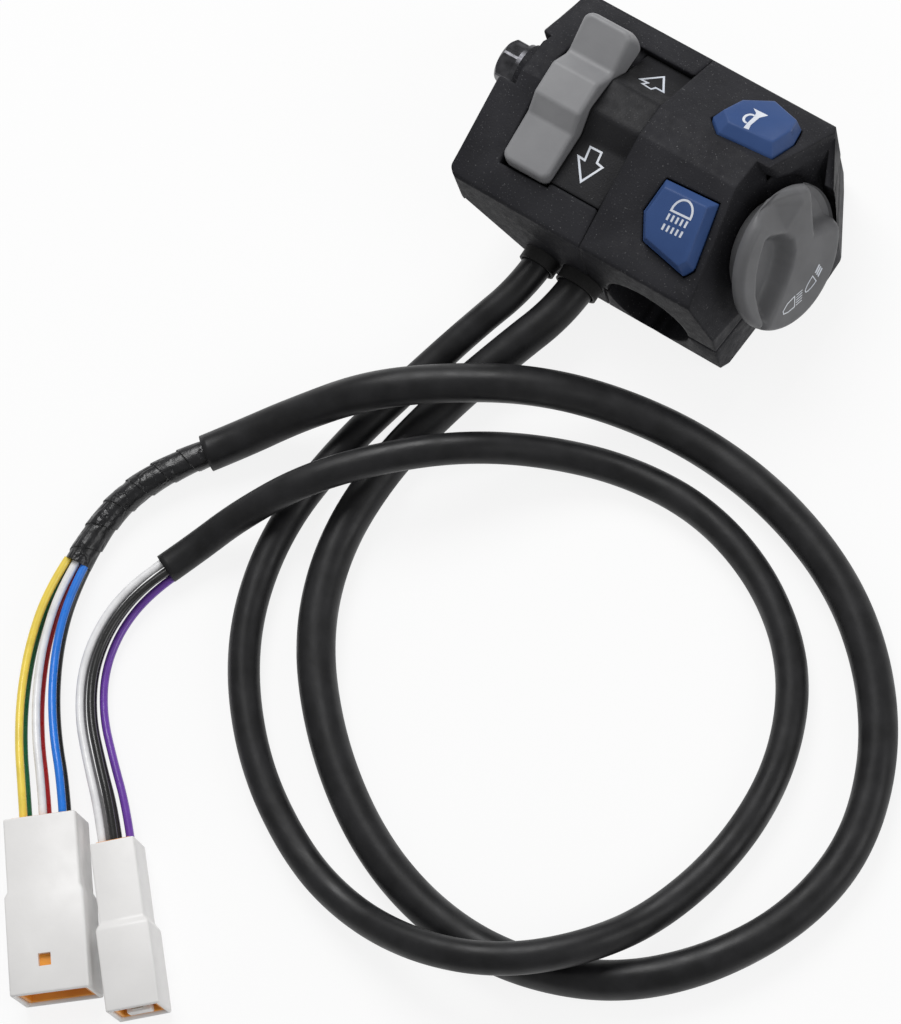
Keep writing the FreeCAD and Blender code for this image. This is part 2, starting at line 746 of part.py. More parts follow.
def thick_gland_seat():
    return gland_seat(GLAND_THICK_X, THICK_SLEEVE_DIAMETER)


def gland(x, diameter):
    body = gland_seat(x, diameter)
    mouth = Vector(x, -CASE_HALF_WIDTH - GLAND_COLLAR - 1, GLAND_Z)
    bore = cylinder(diameter / 2 + GLAND_PLAY, mouth, Y_AXIS, GLAND_COLLAR + 1)
    return body.cut(bore)


# Cords: straight runs joined by tangent arcs
def bend(before, corner, after):
    back = before - corner
    forth = after - corner
    shorter = min(back.Length, forth.Length)
    back = back.normalize()
    forth = forth.normalize()
    half_turn = (math.pi - back.getAngle(forth)) / 2
    radius = BEND_SHARE * shorter / math.tan(half_turn)
    start = corner + back * (BEND_SHARE * shorter)
    end = corner + forth * (BEND_SHARE * shorter)
    inward = (back + forth).normalize()
    middle = corner + inward * (radius / math.cos(half_turn) - radius)
    return start, middle, end, radius


def cord(name, route, diameter):
    points = [Vector(*point) for point in route]
    edges = []
    radii = []
    last = points[0]
    for i in range(1, len(points) - 1):
        start, middle, end, radius = bend(points[i - 1], points[i], points[i + 1])
        edges.append(Part.makeLine(last, start))
        edges.append(Part.Arc(start, middle, end).toShape())
        radii.append(round(radius, 1))
        last = end
    edges.append(Part.makeLine(last, points[-1]))
    path = Part.Wire(edges)
    section = Part.Wire(Part.makeCircle(diameter / 2, points[0], points[1] - points[0]))
    tube = path.makePipeShell([section], True, False)
    if tube.Volume < 0:
        tube.reverse()
    share = tube.Volume / (math.pi * diameter**2 / 4 * path.Length)
    print(name, "length", round(path.Length, 1), "radii", radii, "volume share", round(share, 4))
    return tube


# Plugs, drawn with the back face at the origin and the mouth forward along +X
def plug_place(x, y, height, heading):
    centre = Vector(x, y, CORD_FLOOR_Z + height / 2)
    return FreeCAD.Placement(centre, FreeCAD.Rotation(Z_AXIS, heading))


def plug_block(width, height, inset, x0, x1):
    half_width = width / 2 - inset
    half_height = height / 2 - inset
    return box(x0, x1, -half_width, half_width, -half_height, half_height)


def plug_shell(width, height, length, columns):
    front = plug_block(width, height, 0, PLUG_BACK_LENGTH, length)
    back = plug_block(width, height, PLUG_BACK_STEP, 0, PLUG_BACK_LENGTH + 1)
    front = rounded(front, PLUG_ROUNDING, lambda edge: edge_runs_along(edge, X_AXIS))
    back = rounded(back, PLUG_ROUNDING, lambda edge: edge_runs_along(edge, X_AXIS))
    shell = fuse([front, back])
    cuts = [plug_block(width, height, PLUG_WALL, length - MOUTH_DEPTH, length + 1)]
    cuts.append(plug_block(width, height, PLUG_WALL + PLUG_BACK_STEP, -1, SEAL_DEPTH))
    cuts.append(
        box(
            RETAINER_START,
            RETAINER_START + RETAINER_LENGTH,
            -RETAINER_WIDTH / 2,
            RETAINER_WIDTH / 2,
            height / 2 - RETAINER_DEPTH,
            height,
        )
    )
    for column in columns:
        for row in (-SOCKET_ROW, SOCKET_ROW):
            cuts.append(
                box(
                    length - MOUTH_DEPTH - SOCKET_DEPTH,
                    length - MOUTH_DEPTH + 1,
                    column - SOCKET_SIDE / 2,
                    column + SOCKET_SIDE / 2,
                    row - SOCKET_SIDE / 2,
                    row + SOCKET_SIDE / 2,
                )
            )
    shell = shell.cut(cuts)
    for side in (-1, 1):
        groove = box(
            PLUG_BACK_LENGTH + 3,
            length - MOUTH_DEPTH - 2,
            min(side * (width / 2 - 0.6), side * width),
            max(side * (width / 2 - 0.6), side * width),
            -1.4,
            1.4,
        )
        shell = shell.cut(groove)
    return shell


def plug_wire_seal(width, height):
    return plug_block(width, height, PLUG_WALL + PLUG_BACK_STEP, 0, SEAL_DEPTH)


def plug_ring_seal(width, height, length):
    start = length - MOUTH_DEPTH
    ring = plug_block(width, height, PLUG_WALL, start, start + SEAL_LENGTH)
    return ring.cut(plug_block(width, height, PLUG_WALL + SEAL_WALL, start - 1, start + SEAL_LENGTH + 1))


def plug_retainer(height):
    top = height / 2 - 0.2
    return box(
        RETAINER_START,
        RETAINER_START + RETAINER_LENGTH,
        -RETAINER_WIDTH / 2,
        RETAINER_WIDTH / 2,
        height / 2 - RETAINER_DEPTH,
        top,
    )


# Loom: two sleeves in a loop, the taped end and the wires that run to the plugs
def wire_routes(spine, start_rows, end_rows):
    routes = []
    for (start_side, start_up), (end_side, end_up) in zip(start_rows, end_rows):
        route = []
        for i, point in enumerate(spine):
            before = spine[max(i - 1, 0)]
            after = spine[min(i + 1, len(spine) - 1)]
            along = Vector(after[0] - before[0], after[1] - before[1], 0).normalize()
            share = min(1, i / (len(spine) - 2))
            side = start_side + (end_side - start_side) * share
            up = start_up + (end_up - start_up) * share
            route.append((point[0] - along.y * side, point[1] + along.x * side, point[2] + up))
        routes.append(route)
    return routes


THIN_Z = CORD_FLOOR_Z + THIN_SLEEVE_DIAMETER / 2
THICK_Z = CORD_FLOOR_Z + THICK_SLEEVE_DIAMETER / 2
TAPE_Z = CORD_FLOOR_Z + TAPE_DIAMETER / 2
ENTRY_Z = GLAND_Z - BAR_Z

THIN_ROUTE = [
    (GLAND_THIN_X - BAR_X, -CASE_HALF_WIDTH, ENTRY_Z),
    (GLAND_THIN_X - BAR_X, -34.5, ENTRY_Z),
    (-35.0, -48.5, -5.5),
    (-41.0, -66.0, -9.6),
    (-46.5, -88.5, THIN_Z),
    (-48.0, -114.0, THIN_Z),
    (-40.0, -139.0, THIN_Z),
    (-22.0, -160.0, THIN_Z),
    (0.0, -173.0, THIN_Z),
    (19.0, -177.5, -8.0),
    (39.0, -176.5, 0.5),
    (56.0, -169.5, 1.6),
    (69.5, -157.0, -0.4),
    (77.5, -141.5, -8.6),
    (83.0, -120.0, THIN_Z),
    (82.0, -98.0, THIN_Z),
    (73.0, -78.0, THIN_Z),
    (56.0, -64.0, THIN_Z),
    (35.0, -57.0, THIN_Z),
    (14.0, -58.0, THIN_Z),
    (-4.0, -65.0, -6.0),
    (-18.0, -75.0, 1.0),
    (-32.0, -87.0, 2.4),
    (-45.0, -101.0, 2.0),
    (-55.5, -115.0, -4.6),
    (-62.0, -126.5, THIN_Z),
    (-65.0, -134.0, THIN_Z),
]
THICK_ROUTE = [
    (GLAND_THICK_X - BAR_X, -CASE_HALF_WIDTH, ENTRY_Z),
    (GLAND_THICK_X - BAR_X, -34.5, ENTRY_Z),
    (-24.5, -49.0, -5.5),
    (-31.0, -66.5, -9.0),
    (-35.0, -87.0, THICK_Z),
    (-34.0, -109.0, THICK_Z),
    (-26.0, -129.0, THICK_Z),
    (-11.0, -146.0, THICK_Z),
    (7.0, -159.0, THICK_Z),
    (25.0, -166.5, THICK_Z),
    (44.0, -169.0, THICK_Z),
    (62.0, -166.0, THICK_Z),
    (79.0, -158.0, THICK_Z),
    (93.0, -144.0, THICK_Z),
    (103.0, -126.0, THICK_Z),
    (106.0, -106.0, THICK_Z),
    (100.0, -86.0, THICK_Z),
    (88.0, -69.0, THICK_Z),
    (71.0, -55.5, THICK_Z),
    (49.0, -47.0, THICK_Z),
    (26.0, -44.0, THICK_Z),
    (5.0, -47.0, -5.5),
    (-12.0, -54.5, 2.5),
    (-29.0, -65.0, 4.8),
    (-44.5, -76.0, 3.4),
    (-58.0, -88.0, -4.0),
    (-68.0, -99.0, THICK_Z),
    (-73.0, -106.0, THICK_Z),
]
TAPE_ROUTE = [
    (-73.0, -106.0, THICK_Z),
    (-78.0, -113.0, THICK_Z),
    (-83.0, -123.0, -10.0),
    (-85.0, -134.0, TAPE_Z),
    (-84.0, -144.0, TAPE_Z),
]
PLUG_WIDE_Z = CORD_FLOOR_Z + PLUG_WIDE_HEIGHT / 2
PLUG_NARROW_Z = CORD_FLOOR_Z + PLUG_NARROW_HEIGHT / 2
WIDE_SPINE = [
    (-84.0, -144.0, TAPE_Z),
    (-83.2, -152.0, TAPE_Z),
    (-79.3, -163.5, TAPE_Z),
    (-73.2, -174.2, -9.6),
    (-66.0, -183.4, -8.2),
    (-58.1, -191.5, PLUG_WIDE_Z),
    (PLUG_WIDE_X, PLUG_WIDE_Y, PLUG_WIDE_Z),
]
NARROW_SPINE = [
    (-65.0, -134.0, THIN_Z),
    (-67.6, -140.5, THIN_Z),
    (-68.6, -151.5, THIN_Z),
    (-66.0, -162.5, THIN_Z),
    (-59.4, -172.2, -9.4),
    (-50.4, -180.0, -8.4),
    (-41.4, -187.3, PLUG_NARROW_Z),
    (PLUG_NARROW_X, PLUG_NARROW_Y, PLUG_NARROW_Z),
]
WIDE_NAMES = ["yellow", "white", "blue", "green", "red", "black"]
WIDE_START = [(-2.25, 1.15), (0, 1.25), (2.25, 1.15), (-2.25, -1.15), (0, -1.25), (2.25, -1.15)]
WIDE_END = [(-4.6, 2.2), (0, 2.2), (4.6, 2.2), (-4.6, -2.2), (0, -2.2), (4.6, -2.2)]
NARROW_NAMES = ["white", "black", "grey", "brown", "purple"]
NARROW_START = [(-1.2, 1.25), (1.2, 1.25), (-2.3, -1.15), (0, -1.25), (2.3, -1.15)]
NARROW_END = [(-2.8, 2.2), (0, 2.2), (-2.8, -2.2), (0, -2.2), (2.8, -2.2)]


def housing_pieces():
    return {
        "clamp_case": clamp_case(),
        "button_case": button_case(),
        "clamp_half": clamp_half(),
        "clamp_screw_near": clamp_screw(-1),
        "clamp_screw_far": clamp_screw(1),
        "signal_panel": signal_panel(),
        "signal_rocker": signal_rocker(),
        "rocker_pin": rocker_pin(),
        "clamp_bolt": clamp_bolt(),
        "bolt_washer": washer(),
        "clamp_nut": clamp_nut(),
        "flash_button": button_cap(flash_outline(), flash_frame()),
        "horn_button": button_cap(horn_outline(), horn_frame()),
        "flash_spring": button_spring(flash_frame()),
        "horn_spring": button_spring(horn_frame()),
        "flash_contact": button_contact(flash_frame()),
        "horn_contact": button_contact(horn_frame()),
        "light_knob": light_knob(),
        "gland_thin": gland(GLAND_THIN_X, THIN_SLEEVE_DIAMETER),
        "gland_thick": gland(GLAND_THICK_X, THICK_SLEEVE_DIAMETER),
    }


def loom_pieces():
    pieces = {
        "sleeve_thin": cord("sleeve_thin", THIN_ROUTE, THIN_SLEEVE_DIAMETER),
        "sleeve_thick": cord("sleeve_thick", THICK_ROUTE, THICK_SLEEVE_DIAMETER),
        "tape_wrap": cord("tape_wrap", TAPE_ROUTE, TAPE_DIAMETER),
    }
    bundles = [
        ("wide", WIDE_NAMES, wire_routes(WIDE_SPINE, WIDE_START, WIDE_END)),
        ("narrow", NARROW_NAMES, wire_routes(NARROW_SPINE, NARROW_START, NARROW_END)),
    ]
    for bundle, names, routes in bundles:
        for name, route in zip(names, routes):
            node = "wire_" + bundle + "_" + name
            pieces[node] = cord(node, route, WIRE_DIAMETER)
    return pieces


def plug_pieces():
    wide = {
        "plug_wide": plug_shell(PLUG_WIDE, PLUG_WIDE_HEIGHT, PLUG_WIDE_LENGTH, (-4.6, 0, 4.6)),
        "plug_wide_wire_seal": plug_wire_seal(PLUG_WIDE, PLUG_WIDE_HEIGHT),
        "plug_wide_ring_seal": plug_ring_seal(PLUG_WIDE, PLUG_WIDE_HEIGHT, PLUG_WIDE_LENGTH),
        "plug_wide_retainer": plug_retainer(PLUG_WIDE_HEIGHT),
    }
    narrow = {
        "plug_narrow": plug_shell(PLUG_NARROW, PLUG_NARROW_HEIGHT, PLUG_NARROW_LENGTH, (-2.8, 0, 2.8)),
        "plug_narrow_wire_seal": plug_wire_seal(PLUG_NARROW, PLUG_NARROW_HEIGHT),
        "plug_narrow_ring_seal": plug_ring_seal(PLUG_NARROW, PLUG_NARROW_HEIGHT, PLUG_NARROW_LENGTH),
        "plug_narrow_retainer": plug_retainer(PLUG_NARROW_HEIGHT),
    }
    for piece in wide.values():
        piece.Placement = plug_place(PLUG_WIDE_X, PLUG_WIDE_Y, PLUG_WIDE_HEIGHT, PLUG_WIDE_HEADING)
    for piece in narrow.values():
        piece.Placement = plug_place(PLUG_NARROW_X, PLUG_NARROW_Y, PLUG_NARROW_HEIGHT, PLUG_NARROW_HEADING)
    return {**wide, **narrow}


os.makedirs("parts", exist_ok=True)
housing = housing_pieces()
for shape in housing.values():
    shape.translate(Vector(-BAR_X, 0, -BAR_Z))
for node, shape in {**housing, **loom_pieces(), **plug_pieces()}.items():
    print(node, shape.isValid(), len(shape.Solids), round(shape.Volume))
    shape.exportStep("parts/" + node + ".step")
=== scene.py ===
# %% [markdown]
# # A motorcycle handlebar switch with its looped cables
# The switch block lies on its back on a white table. Two soft sleeves leave its lower side,
# make one big loop, and end in coloured wires and two white plugs.
# The hard parts come from the CAD model. This notebook gives them their finishes, and models
# again what a solid can't show well: the cables, the plugs, the knob and the rounded edges.
# It also adds the printed signs.

# %% Load the frame
import math

import bmesh
import bpy
from mathutils import Matrix, Vector, noise


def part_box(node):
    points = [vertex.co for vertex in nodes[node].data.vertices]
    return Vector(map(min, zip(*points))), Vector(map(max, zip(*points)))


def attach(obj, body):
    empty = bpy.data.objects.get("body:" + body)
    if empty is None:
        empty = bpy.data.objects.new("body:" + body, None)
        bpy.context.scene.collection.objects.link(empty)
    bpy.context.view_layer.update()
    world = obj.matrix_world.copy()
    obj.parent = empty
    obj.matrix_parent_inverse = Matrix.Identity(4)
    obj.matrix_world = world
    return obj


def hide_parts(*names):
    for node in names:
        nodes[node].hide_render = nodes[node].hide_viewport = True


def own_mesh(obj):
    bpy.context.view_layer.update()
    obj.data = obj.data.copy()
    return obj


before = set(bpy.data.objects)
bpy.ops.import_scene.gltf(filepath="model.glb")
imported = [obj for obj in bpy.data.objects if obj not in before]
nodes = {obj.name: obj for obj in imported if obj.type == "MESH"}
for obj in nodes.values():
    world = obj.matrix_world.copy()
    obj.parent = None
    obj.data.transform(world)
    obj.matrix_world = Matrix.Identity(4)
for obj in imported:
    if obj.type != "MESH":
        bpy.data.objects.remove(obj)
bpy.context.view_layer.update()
bpy.ops.object.select_all(action="DESELECT")

# %% [markdown]
# ## The camera
# The photograph looks down at about 70 degrees from far away, with the handlebar running to the
# upper right. A long lens at a distance of 0.9 m gives the same weak perspective.

# %% Camera
camera_data = bpy.data.cameras.new("camera")
camera_data.sensor_fit = "VERTICAL"
camera_data.sensor_height = 36.0
camera_data.lens = 131.755
camera_data.clip_start = 0.05
camera_data.clip_end = 10.0
camera = bpy.data.objects.new("camera", camera_data)
camera.location = (0.248896, -0.236511, 0.798265)
camera.rotation_euler = [math.radians(turn) for turn in (18.3552, 9.4447, 34.3110)]
bpy.context.scene.collection.objects.link(camera)
bpy.context.scene.camera = camera
print("camera at", tuple(camera.location))

# %% [markdown]
# ## The table
# The table is white and lies a tenth of a millimetre below the model. To the camera and to
# glossy surfaces it gives off most of its white itself, so that it looks clean, and the rest of
# it still takes the soft shadow under the cables.

# %% Table
TABLE_Z = -0.0141
OWN_LIGHT = 0.86
bpy.ops.mesh.primitive_plane_add(size=6, location=(0, 0, TABLE_Z))
table = bpy.context.object
table.name = "table"
table_finish = bpy.data.materials.new("table_white")
table_finish.use_nodes = True
table_shader = table_finish.node_tree.nodes["Principled BSDF"]
table_shader.inputs["Base Color"].default_value = (0.93, 0.93, 0.93, 1)
table_shader.inputs["Roughness"].default_value = 0.8
path = table_finish.node_tree.nodes.new("ShaderNodeLightPath")
seen = table_finish.node_tree.nodes.new("ShaderNodeMath")
seen.operation = "MAXIMUM"
share = table_finish.node_tree.nodes.new("ShaderNodeMath")
share.operation = "MULTIPLY"
share.inputs[1].default_value = OWN_LIGHT
white = table_finish.node_tree.nodes.new("ShaderNodeEmission")
blend = table_finish.node_tree.nodes.new("ShaderNodeMixShader")
joined = table_finish.node_tree.links
surface = table_finish.node_tree.nodes["Material Output"].inputs["Surface"]
joined.new(path.outputs["Is Camera Ray"], seen.inputs[0])
joined.new(path.outputs["Is Glossy Ray"], seen.inputs[1])
joined.new(seen.outputs["Value"], share.inputs[0])
joined.new(share.outputs["Value"], blend.inputs["Fac"])
joined.new(table_shader.outputs["BSDF"], blend.inputs[1])
joined.new(white.outputs["Emission"], blend.inputs[2])
joined.new(blend.outputs["Shader"], surface)
table.data.materials.append(table_finish)
print("table at", TABLE_Z)

# %% [markdown]
# ## The light
# A pale world gives soft light from all sides. One broad lamp stands at the upper left and a
# weaker one at the right, as in a product photograph with almost no shadow.

# %% World and lamps
WORLD_STRENGTH = 0.34
LIT_PLACE = (0, -0.06, 0)
world = bpy.data.worlds.new("studio")
bpy.context.scene.world = world
world.use_nodes = True
background = world.node_tree.nodes["Background"]
background.inputs["Color"].default_value = (1, 1, 1, 1)
background.inputs["Strength"].default_value = WORLD_STRENGTH


def area_lamp(name, place, size, power):
    data = bpy.data.lights.new(name, "AREA")
    data.shape = "DISK"
    data.size = size
    data.energy = power
    lamp = bpy.data.objects.new(name, data)
    lamp.location = place
    lamp.rotation_euler = (Vector(LIT_PLACE) - Vector(place)).to_track_quat("-Z", "Y").to_euler()
    bpy.context.scene.collection.objects.link(lamp)


area_lamp("broad_lamp", (-0.55, 0.45, 0.9), 0.7, 9)
area_lamp("side_lamp", (0.7, 0.1, 0.5), 0.5, 1.5)
bpy.context.scene.view_settings.view_transform = "Standard"

# %% [markdown]
# ## Finishes
# Every plastic here has three layers: a colour that drifts a little over the surface, a fine
# moulded grain that only bends the light, and a gloss that changes from place to place.
# They are built on object coordinates, so the grain has the same size everywhere. A finish with
# an edge width also rounds its sharp edges in the shading, by a Bevel node under the grain.

# %% Helpers for plastics and rubbers
def new_material(name):
    material = bpy.data.materials.new(name)
    material.use_nodes = True
    tree = material.node_tree
    return material, tree, tree.nodes["Principled BSDF"]


def noise_on_object(tree, scale, detail):
    place = tree.nodes.new("ShaderNodeTexCoord")
    pattern = tree.nodes.new("ShaderNodeTexNoise")
    pattern.inputs["Scale"].default_value = scale
    pattern.inputs["Detail"].default_value = detail
    tree.links.new(place.outputs["Object"], pattern.inputs["Vector"])
    return pattern


def colour_drift(tree, shader, pattern, dark, light):
    ramp = tree.nodes.new("ShaderNodeValToRGB")
    ramp.color_ramp.elements[0].position = 0.35
    ramp.color_ramp.elements[0].color = (*dark, 1)
    ramp.color_ramp.elements[1].position = 0.65
    ramp.color_ramp.elements[1].color = (*light, 1)
    tree.links.new(pattern.outputs["Fac"], ramp.inputs["Fac"])
    tree.links.new(ramp.outputs["Color"], shader.inputs["Base Color"])
    return ramp


def gloss_drift(tree, shader, pattern, low, high):
    spread = tree.nodes.new("ShaderNodeMapRange")
    spread.inputs["From Min"].default_value = 0.3
    spread.inputs["From Max"].default_value = 0.7
    spread.inputs["To Min"].default_value = low
    spread.inputs["To Max"].default_value = high
    tree.links.new(pattern.outputs["Fac"], spread.inputs["Value"])
    tree.links.new(spread.outputs["Result"], shader.inputs["Roughness"])


def grain(tree, shader, pattern, strength, depth, edge=0):
    bump = tree.nodes.new("ShaderNodeBump")
    if edge:
        corner = tree.nodes.new("ShaderNodeBevel")
        corner.samples = 6
        corner.inputs["Radius"].default_value = edge
        tree.links.new(corner.outputs["Normal"], bump.inputs["Normal"])
    bump.inputs["Strength"].default_value = strength
    bump.inputs["Distance"].default_value = depth
    tree.links.new(pattern.outputs["Fac"], bump.inputs["Height"])
    tree.links.new(bump.outputs["Normal"], shader.inputs["Normal"])


def moulded(name, dark, light, gloss, grain_size, grain_depth, strength=0.5, shine=0.4, edge=0):
    material, tree, shader = new_material(name)
    colour_drift(tree, shader, noise_on_object(tree, 90, 4), dark, light)
    gloss_drift(tree, shader, noise_on_object(tree, 300, 3), gloss - 0.06, gloss + 0.06)
    grain(tree, shader, noise_on_object(tree, 1 / grain_size, 2), strength, grain_depth, edge)
    shader.inputs["Specular IOR Level"].default_value = shine
    return material


print("helpers for finishes ready")

# %% [markdown]
# ## The routes of the sleeves
# Each sleeve is a soft vinyl tube, so it lies in smooth curves. A NURBS curve with a few control
# points gives such a line without corners. The points repeat the route of the CAD tube.
# Order 3 is set after the points are added, and the curve then starts and ends on its end points.

# %% Sleeve routes and a helper for a cable's curve
FLOOR = -0.014
THIN_RADIUS = 0.00375
THICK_RADIUS = 0.0045
WIRE_RADIUS = 0.001
thin_floor = FLOOR + THIN_RADIUS
thick_floor = FLOOR + THICK_RADIUS


def route_curve(name, route, radius):
    data = bpy.data.curves.new(name, "CURVE")
    data.dimensions = "3D"
    data.resolution_u = 12
    data.bevel_depth = radius
    data.bevel_resolution = 4
    data.use_fill_caps = radius > 0
    spline = data.splines.new("NURBS")
    spline.points.add(len(route) - 1)
    for point, place in zip(spline.points, route):
        point.co = (*place, 1)
    spline.order_u = 3
    spline.use_endpoint_u = True
    curve = bpy.data.objects.new(name, data)
    bpy.context.scene.collection.objects.link(curve)
    return curve


def centre_line(route):
    bare = route_curve("bare_route", route, 0)
    bpy.context.view_layer.update()
    graph = bpy.context.evaluated_depsgraph_get()
    line = bpy.data.meshes.new_from_object(bare.evaluated_get(graph))
    points = [vertex.co.copy() for vertex in line.vertices]
    bpy.data.objects.remove(bare)
    bpy.data.meshes.remove(line)
    return points


def length_of(points):
    return sum((b - a).length for a, b in zip(points, points[1:]))


thin_route = [
    (-0.0296, -0.026, -0.003),
    (-0.0296, -0.0345, -0.003),
    (-0.035, -0.0485, -0.0055),
    (-0.041, -0.066, -0.0096),
    (-0.0465, -0.0885, thin_floor),
    (-0.048, -0.114, thin_floor),
    (-0.040, -0.139, thin_floor),
    (-0.022, -0.160, thin_floor),
    (0.0, -0.173, thin_floor),
    (0.019, -0.1775, -0.008),
    (0.039, -0.1765, 0.0005),
    (0.056, -0.1695, 0.0016),
    (0.0695, -0.157, -0.0004),
    (0.0775, -0.1415, -0.0086),
    (0.083, -0.120, thin_floor),
    (0.082, -0.098, thin_floor),
    (0.073, -0.078, thin_floor),
    (0.056, -0.064, thin_floor),
    (0.035, -0.057, thin_floor),
    (0.014, -0.058, thin_floor),
    (-0.004, -0.065, -0.006),
    (-0.018, -0.075, 0.001),
    (-0.032, -0.087, 0.0024),
    (-0.045, -0.101, 0.002),
    (-0.0555, -0.115, -0.0046),
    (-0.062, -0.1265, thin_floor),
    (-0.065, -0.134, thin_floor),
]
thick_route = [
    (-0.0186, -0.026, -0.003),
    (-0.0186, -0.0345, -0.003),
    (-0.0245, -0.049, -0.0055),
    (-0.031, -0.0665, -0.009),
    (-0.035, -0.087, thick_floor),
    (-0.034, -0.109, thick_floor),
    (-0.026, -0.129, thick_floor),
    (-0.011, -0.146, thick_floor),
    (0.007, -0.159, thick_floor),
    (0.025, -0.1665, thick_floor),
    (0.044, -0.169, thick_floor),
    (0.062, -0.166, thick_floor),
    (0.079, -0.158, thick_floor),
    (0.093, -0.144, thick_floor),
    (0.103, -0.126, thick_floor),
    (0.106, -0.106, thick_floor),
    (0.100, -0.086, thick_floor),
    (0.088, -0.069, thick_floor),
    (0.071, -0.0555, thick_floor),
    (0.049, -0.047, thick_floor),
    (0.026, -0.044, thick_floor),
    (0.005, -0.047, -0.0055),
    (-0.012, -0.0545, 0.0025),
    (-0.029, -0.065, 0.0048),
    (-0.0445, -0.076, 0.0034),
    (-0.058, -0.088, -0.004),
    (-0.068, -0.099, thick_floor),
    (-0.073, -0.106, thick_floor),
]
thin_line = centre_line(thin_route)
thick_line = centre_line(thick_route)
print("thin sleeve", round(length_of(thin_line), 4), "m")
print("thick sleeve", round(length_of(thick_line), 4), "m")

# %% [markdown]
# ## The sleeves
# A real vinyl sleeve is never quite round: the wires inside leave it slack, so it flattens a
# little here and there and shows long shallow dents. The tube is therefore a mesh that follows
# the smooth line ring by ring. Sine waves along the run squeeze the rings and press the dents.
# The waves are given in radians per metre.

# %% A soft tube that follows a smooth line
SLOW_WAVE = 9
QUICK_WAVE = 41
DENT_TWIST = 23
DENT_WAVE = 67
SLEEVE_SIDES = 28


def carried_frames(line):
    frames = []
    side = Vector((0, 0, 1))
    for i, place in enumerate(line):
        along = (line[min(i + 1, len(line) - 1)] - line[max(i - 1, 0)]).normalized()
        side = (side - along * side.dot(along)).normalized()
        frames.append((place, along, side, along.cross(side)))
    return frames


def run_along(line):
    run = 0.0
    runs = []
    for before, place in zip([line[0]] + line, line):
        run += (place - before).length
        runs.append(run)
    return runs


def tube_of_rings(name, rings, runs=None):
    made = bmesh.new()
    grid = made.loops.layers.uv.new("run") if runs else None
    corners = [[made.verts.new(place) for place in ring] for ring in rings]
    sides = len(rings[0])
    for i in range(len(rings) - 1):
        for j in range(sides):
            k = (j + 1) % sides
            face = made.faces.new((corners[i][j], corners[i][k], corners[i + 1][k], corners[i + 1][j]))
            if runs:
                face.smooth = True
                steps = ((i, j), (i, j + 1), (i + 1, j + 1), (i + 1, j))
                for loop, (a, b) in zip(face.loops, steps):
                    loop[grid].uv = (runs[a], b / sides)
    made.faces.new(reversed(corners[0]))
    made.faces.new(corners[-1])
    bmesh.ops.recalc_face_normals(made, faces=made.faces)
    mesh = bpy.data.meshes.new(name)
    made.to_mesh(mesh)
    made.free()
    tube = bpy.data.objects.new(name, mesh)
    bpy.context.scene.collection.objects.link(tube)
    return tube


def soft_tube(name, line, radius, squeeze, dent, phase):
    rings = []
    runs = run_along(line)
    for run, (place, along, up, across) in zip(runs, carried_frames(line)):
        quick = 0.55 + 0.45 * math.sin(QUICK_WAVE * run + phase)
        flat = squeeze * quick * math.sin(SLOW_WAVE * run + phase) ** 2
        ring = []
        for j in range(SLEEVE_SIDES):
            turn = 2 * math.pi * j / SLEEVE_SIDES
            hollow = max(0, math.sin(2 * turn + DENT_TWIST * run + phase)) ** 3
            wave = 1 - dent * hollow * math.sin(DENT_WAVE * run) ** 2
            sidestep = radius * (1 - 0.25 * flat) * math.cos(turn) * wave
            rise = radius * (1 - flat) * math.sin(turn) * wave
            ring.append(place + across * sidestep + up * rise)
        rings.append(ring)
    return tube_of_rings(name, rings, runs)


print("helpers for tubes ready")

# %% [markdown]
# The vinyl is black with a soft gloss. Its fine wrinkles are a noise on the tube's own UV map.
# The map's first axis is the run along the sleeve in metres, and its second goes once round the
# tube, so the wrinkles follow every bend.

# %% Sleeves
def vinyl(name, colour, gloss):
    material, tree, shader = new_material(name)
    dark = [0.7 * c for c in colour]
    light = [1.4 * c for c in colour]
    colour_drift(tree, shader, noise_on_object(tree, 160, 3), dark, light)
    gloss_drift(tree, shader, noise_on_object(tree, 120, 3), gloss - 0.08, gloss + 0.12)
    run = tree.nodes.new("ShaderNodeUVMap")
    run.uv_map = "run"
    stretch = tree.nodes.new("ShaderNodeMapping")
    stretch.inputs["Scale"].default_value = (60, 3, 1)
    creases = tree.nodes.new("ShaderNodeTexNoise")
    creases.inputs["Scale"].default_value = 1.0
    creases.inputs["Detail"].default_value = 5
    tree.links.new(run.outputs["UV"], stretch.inputs["Vector"])
    tree.links.new(stretch.outputs["Vector"], creases.inputs["Vector"])
    grain(tree, shader, creases, 0.35, 0.0008)
    shader.inputs["Specular IOR Level"].default_value = 0.32
    return material


sleeve_black = vinyl("sleeve_black", (0.012, 0.012, 0.013), 0.42)
sleeve_thin = soft_tube("thin_sleeve", thin_line, THIN_RADIUS, squeeze=0.12, dent=0.05, phase=0.6)
sleeve_thick = soft_tube("thick_sleeve", thick_line, THICK_RADIUS, squeeze=0.10, dent=0.04, phase=2.1)
for sleeve in (sleeve_thin, sleeve_thick):
    sleeve.data.materials.append(sleeve_black)
    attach(sleeve, "housing")
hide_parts("sleeve_thin")
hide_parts("sleeve_thick")
print("sleeve rings:", len(thin_line), len(thick_line))

# %% [markdown]
# ## The taped end
# Glossy black tape is wound in a spiral from the end of the thick sleeve down the wires.
# Each turn of tape overlaps the one before, which leaves a row of slanted steps. The tape was
# pulled tight by hand, so narrow creases cross the turns, where a smooth noise passes zero.

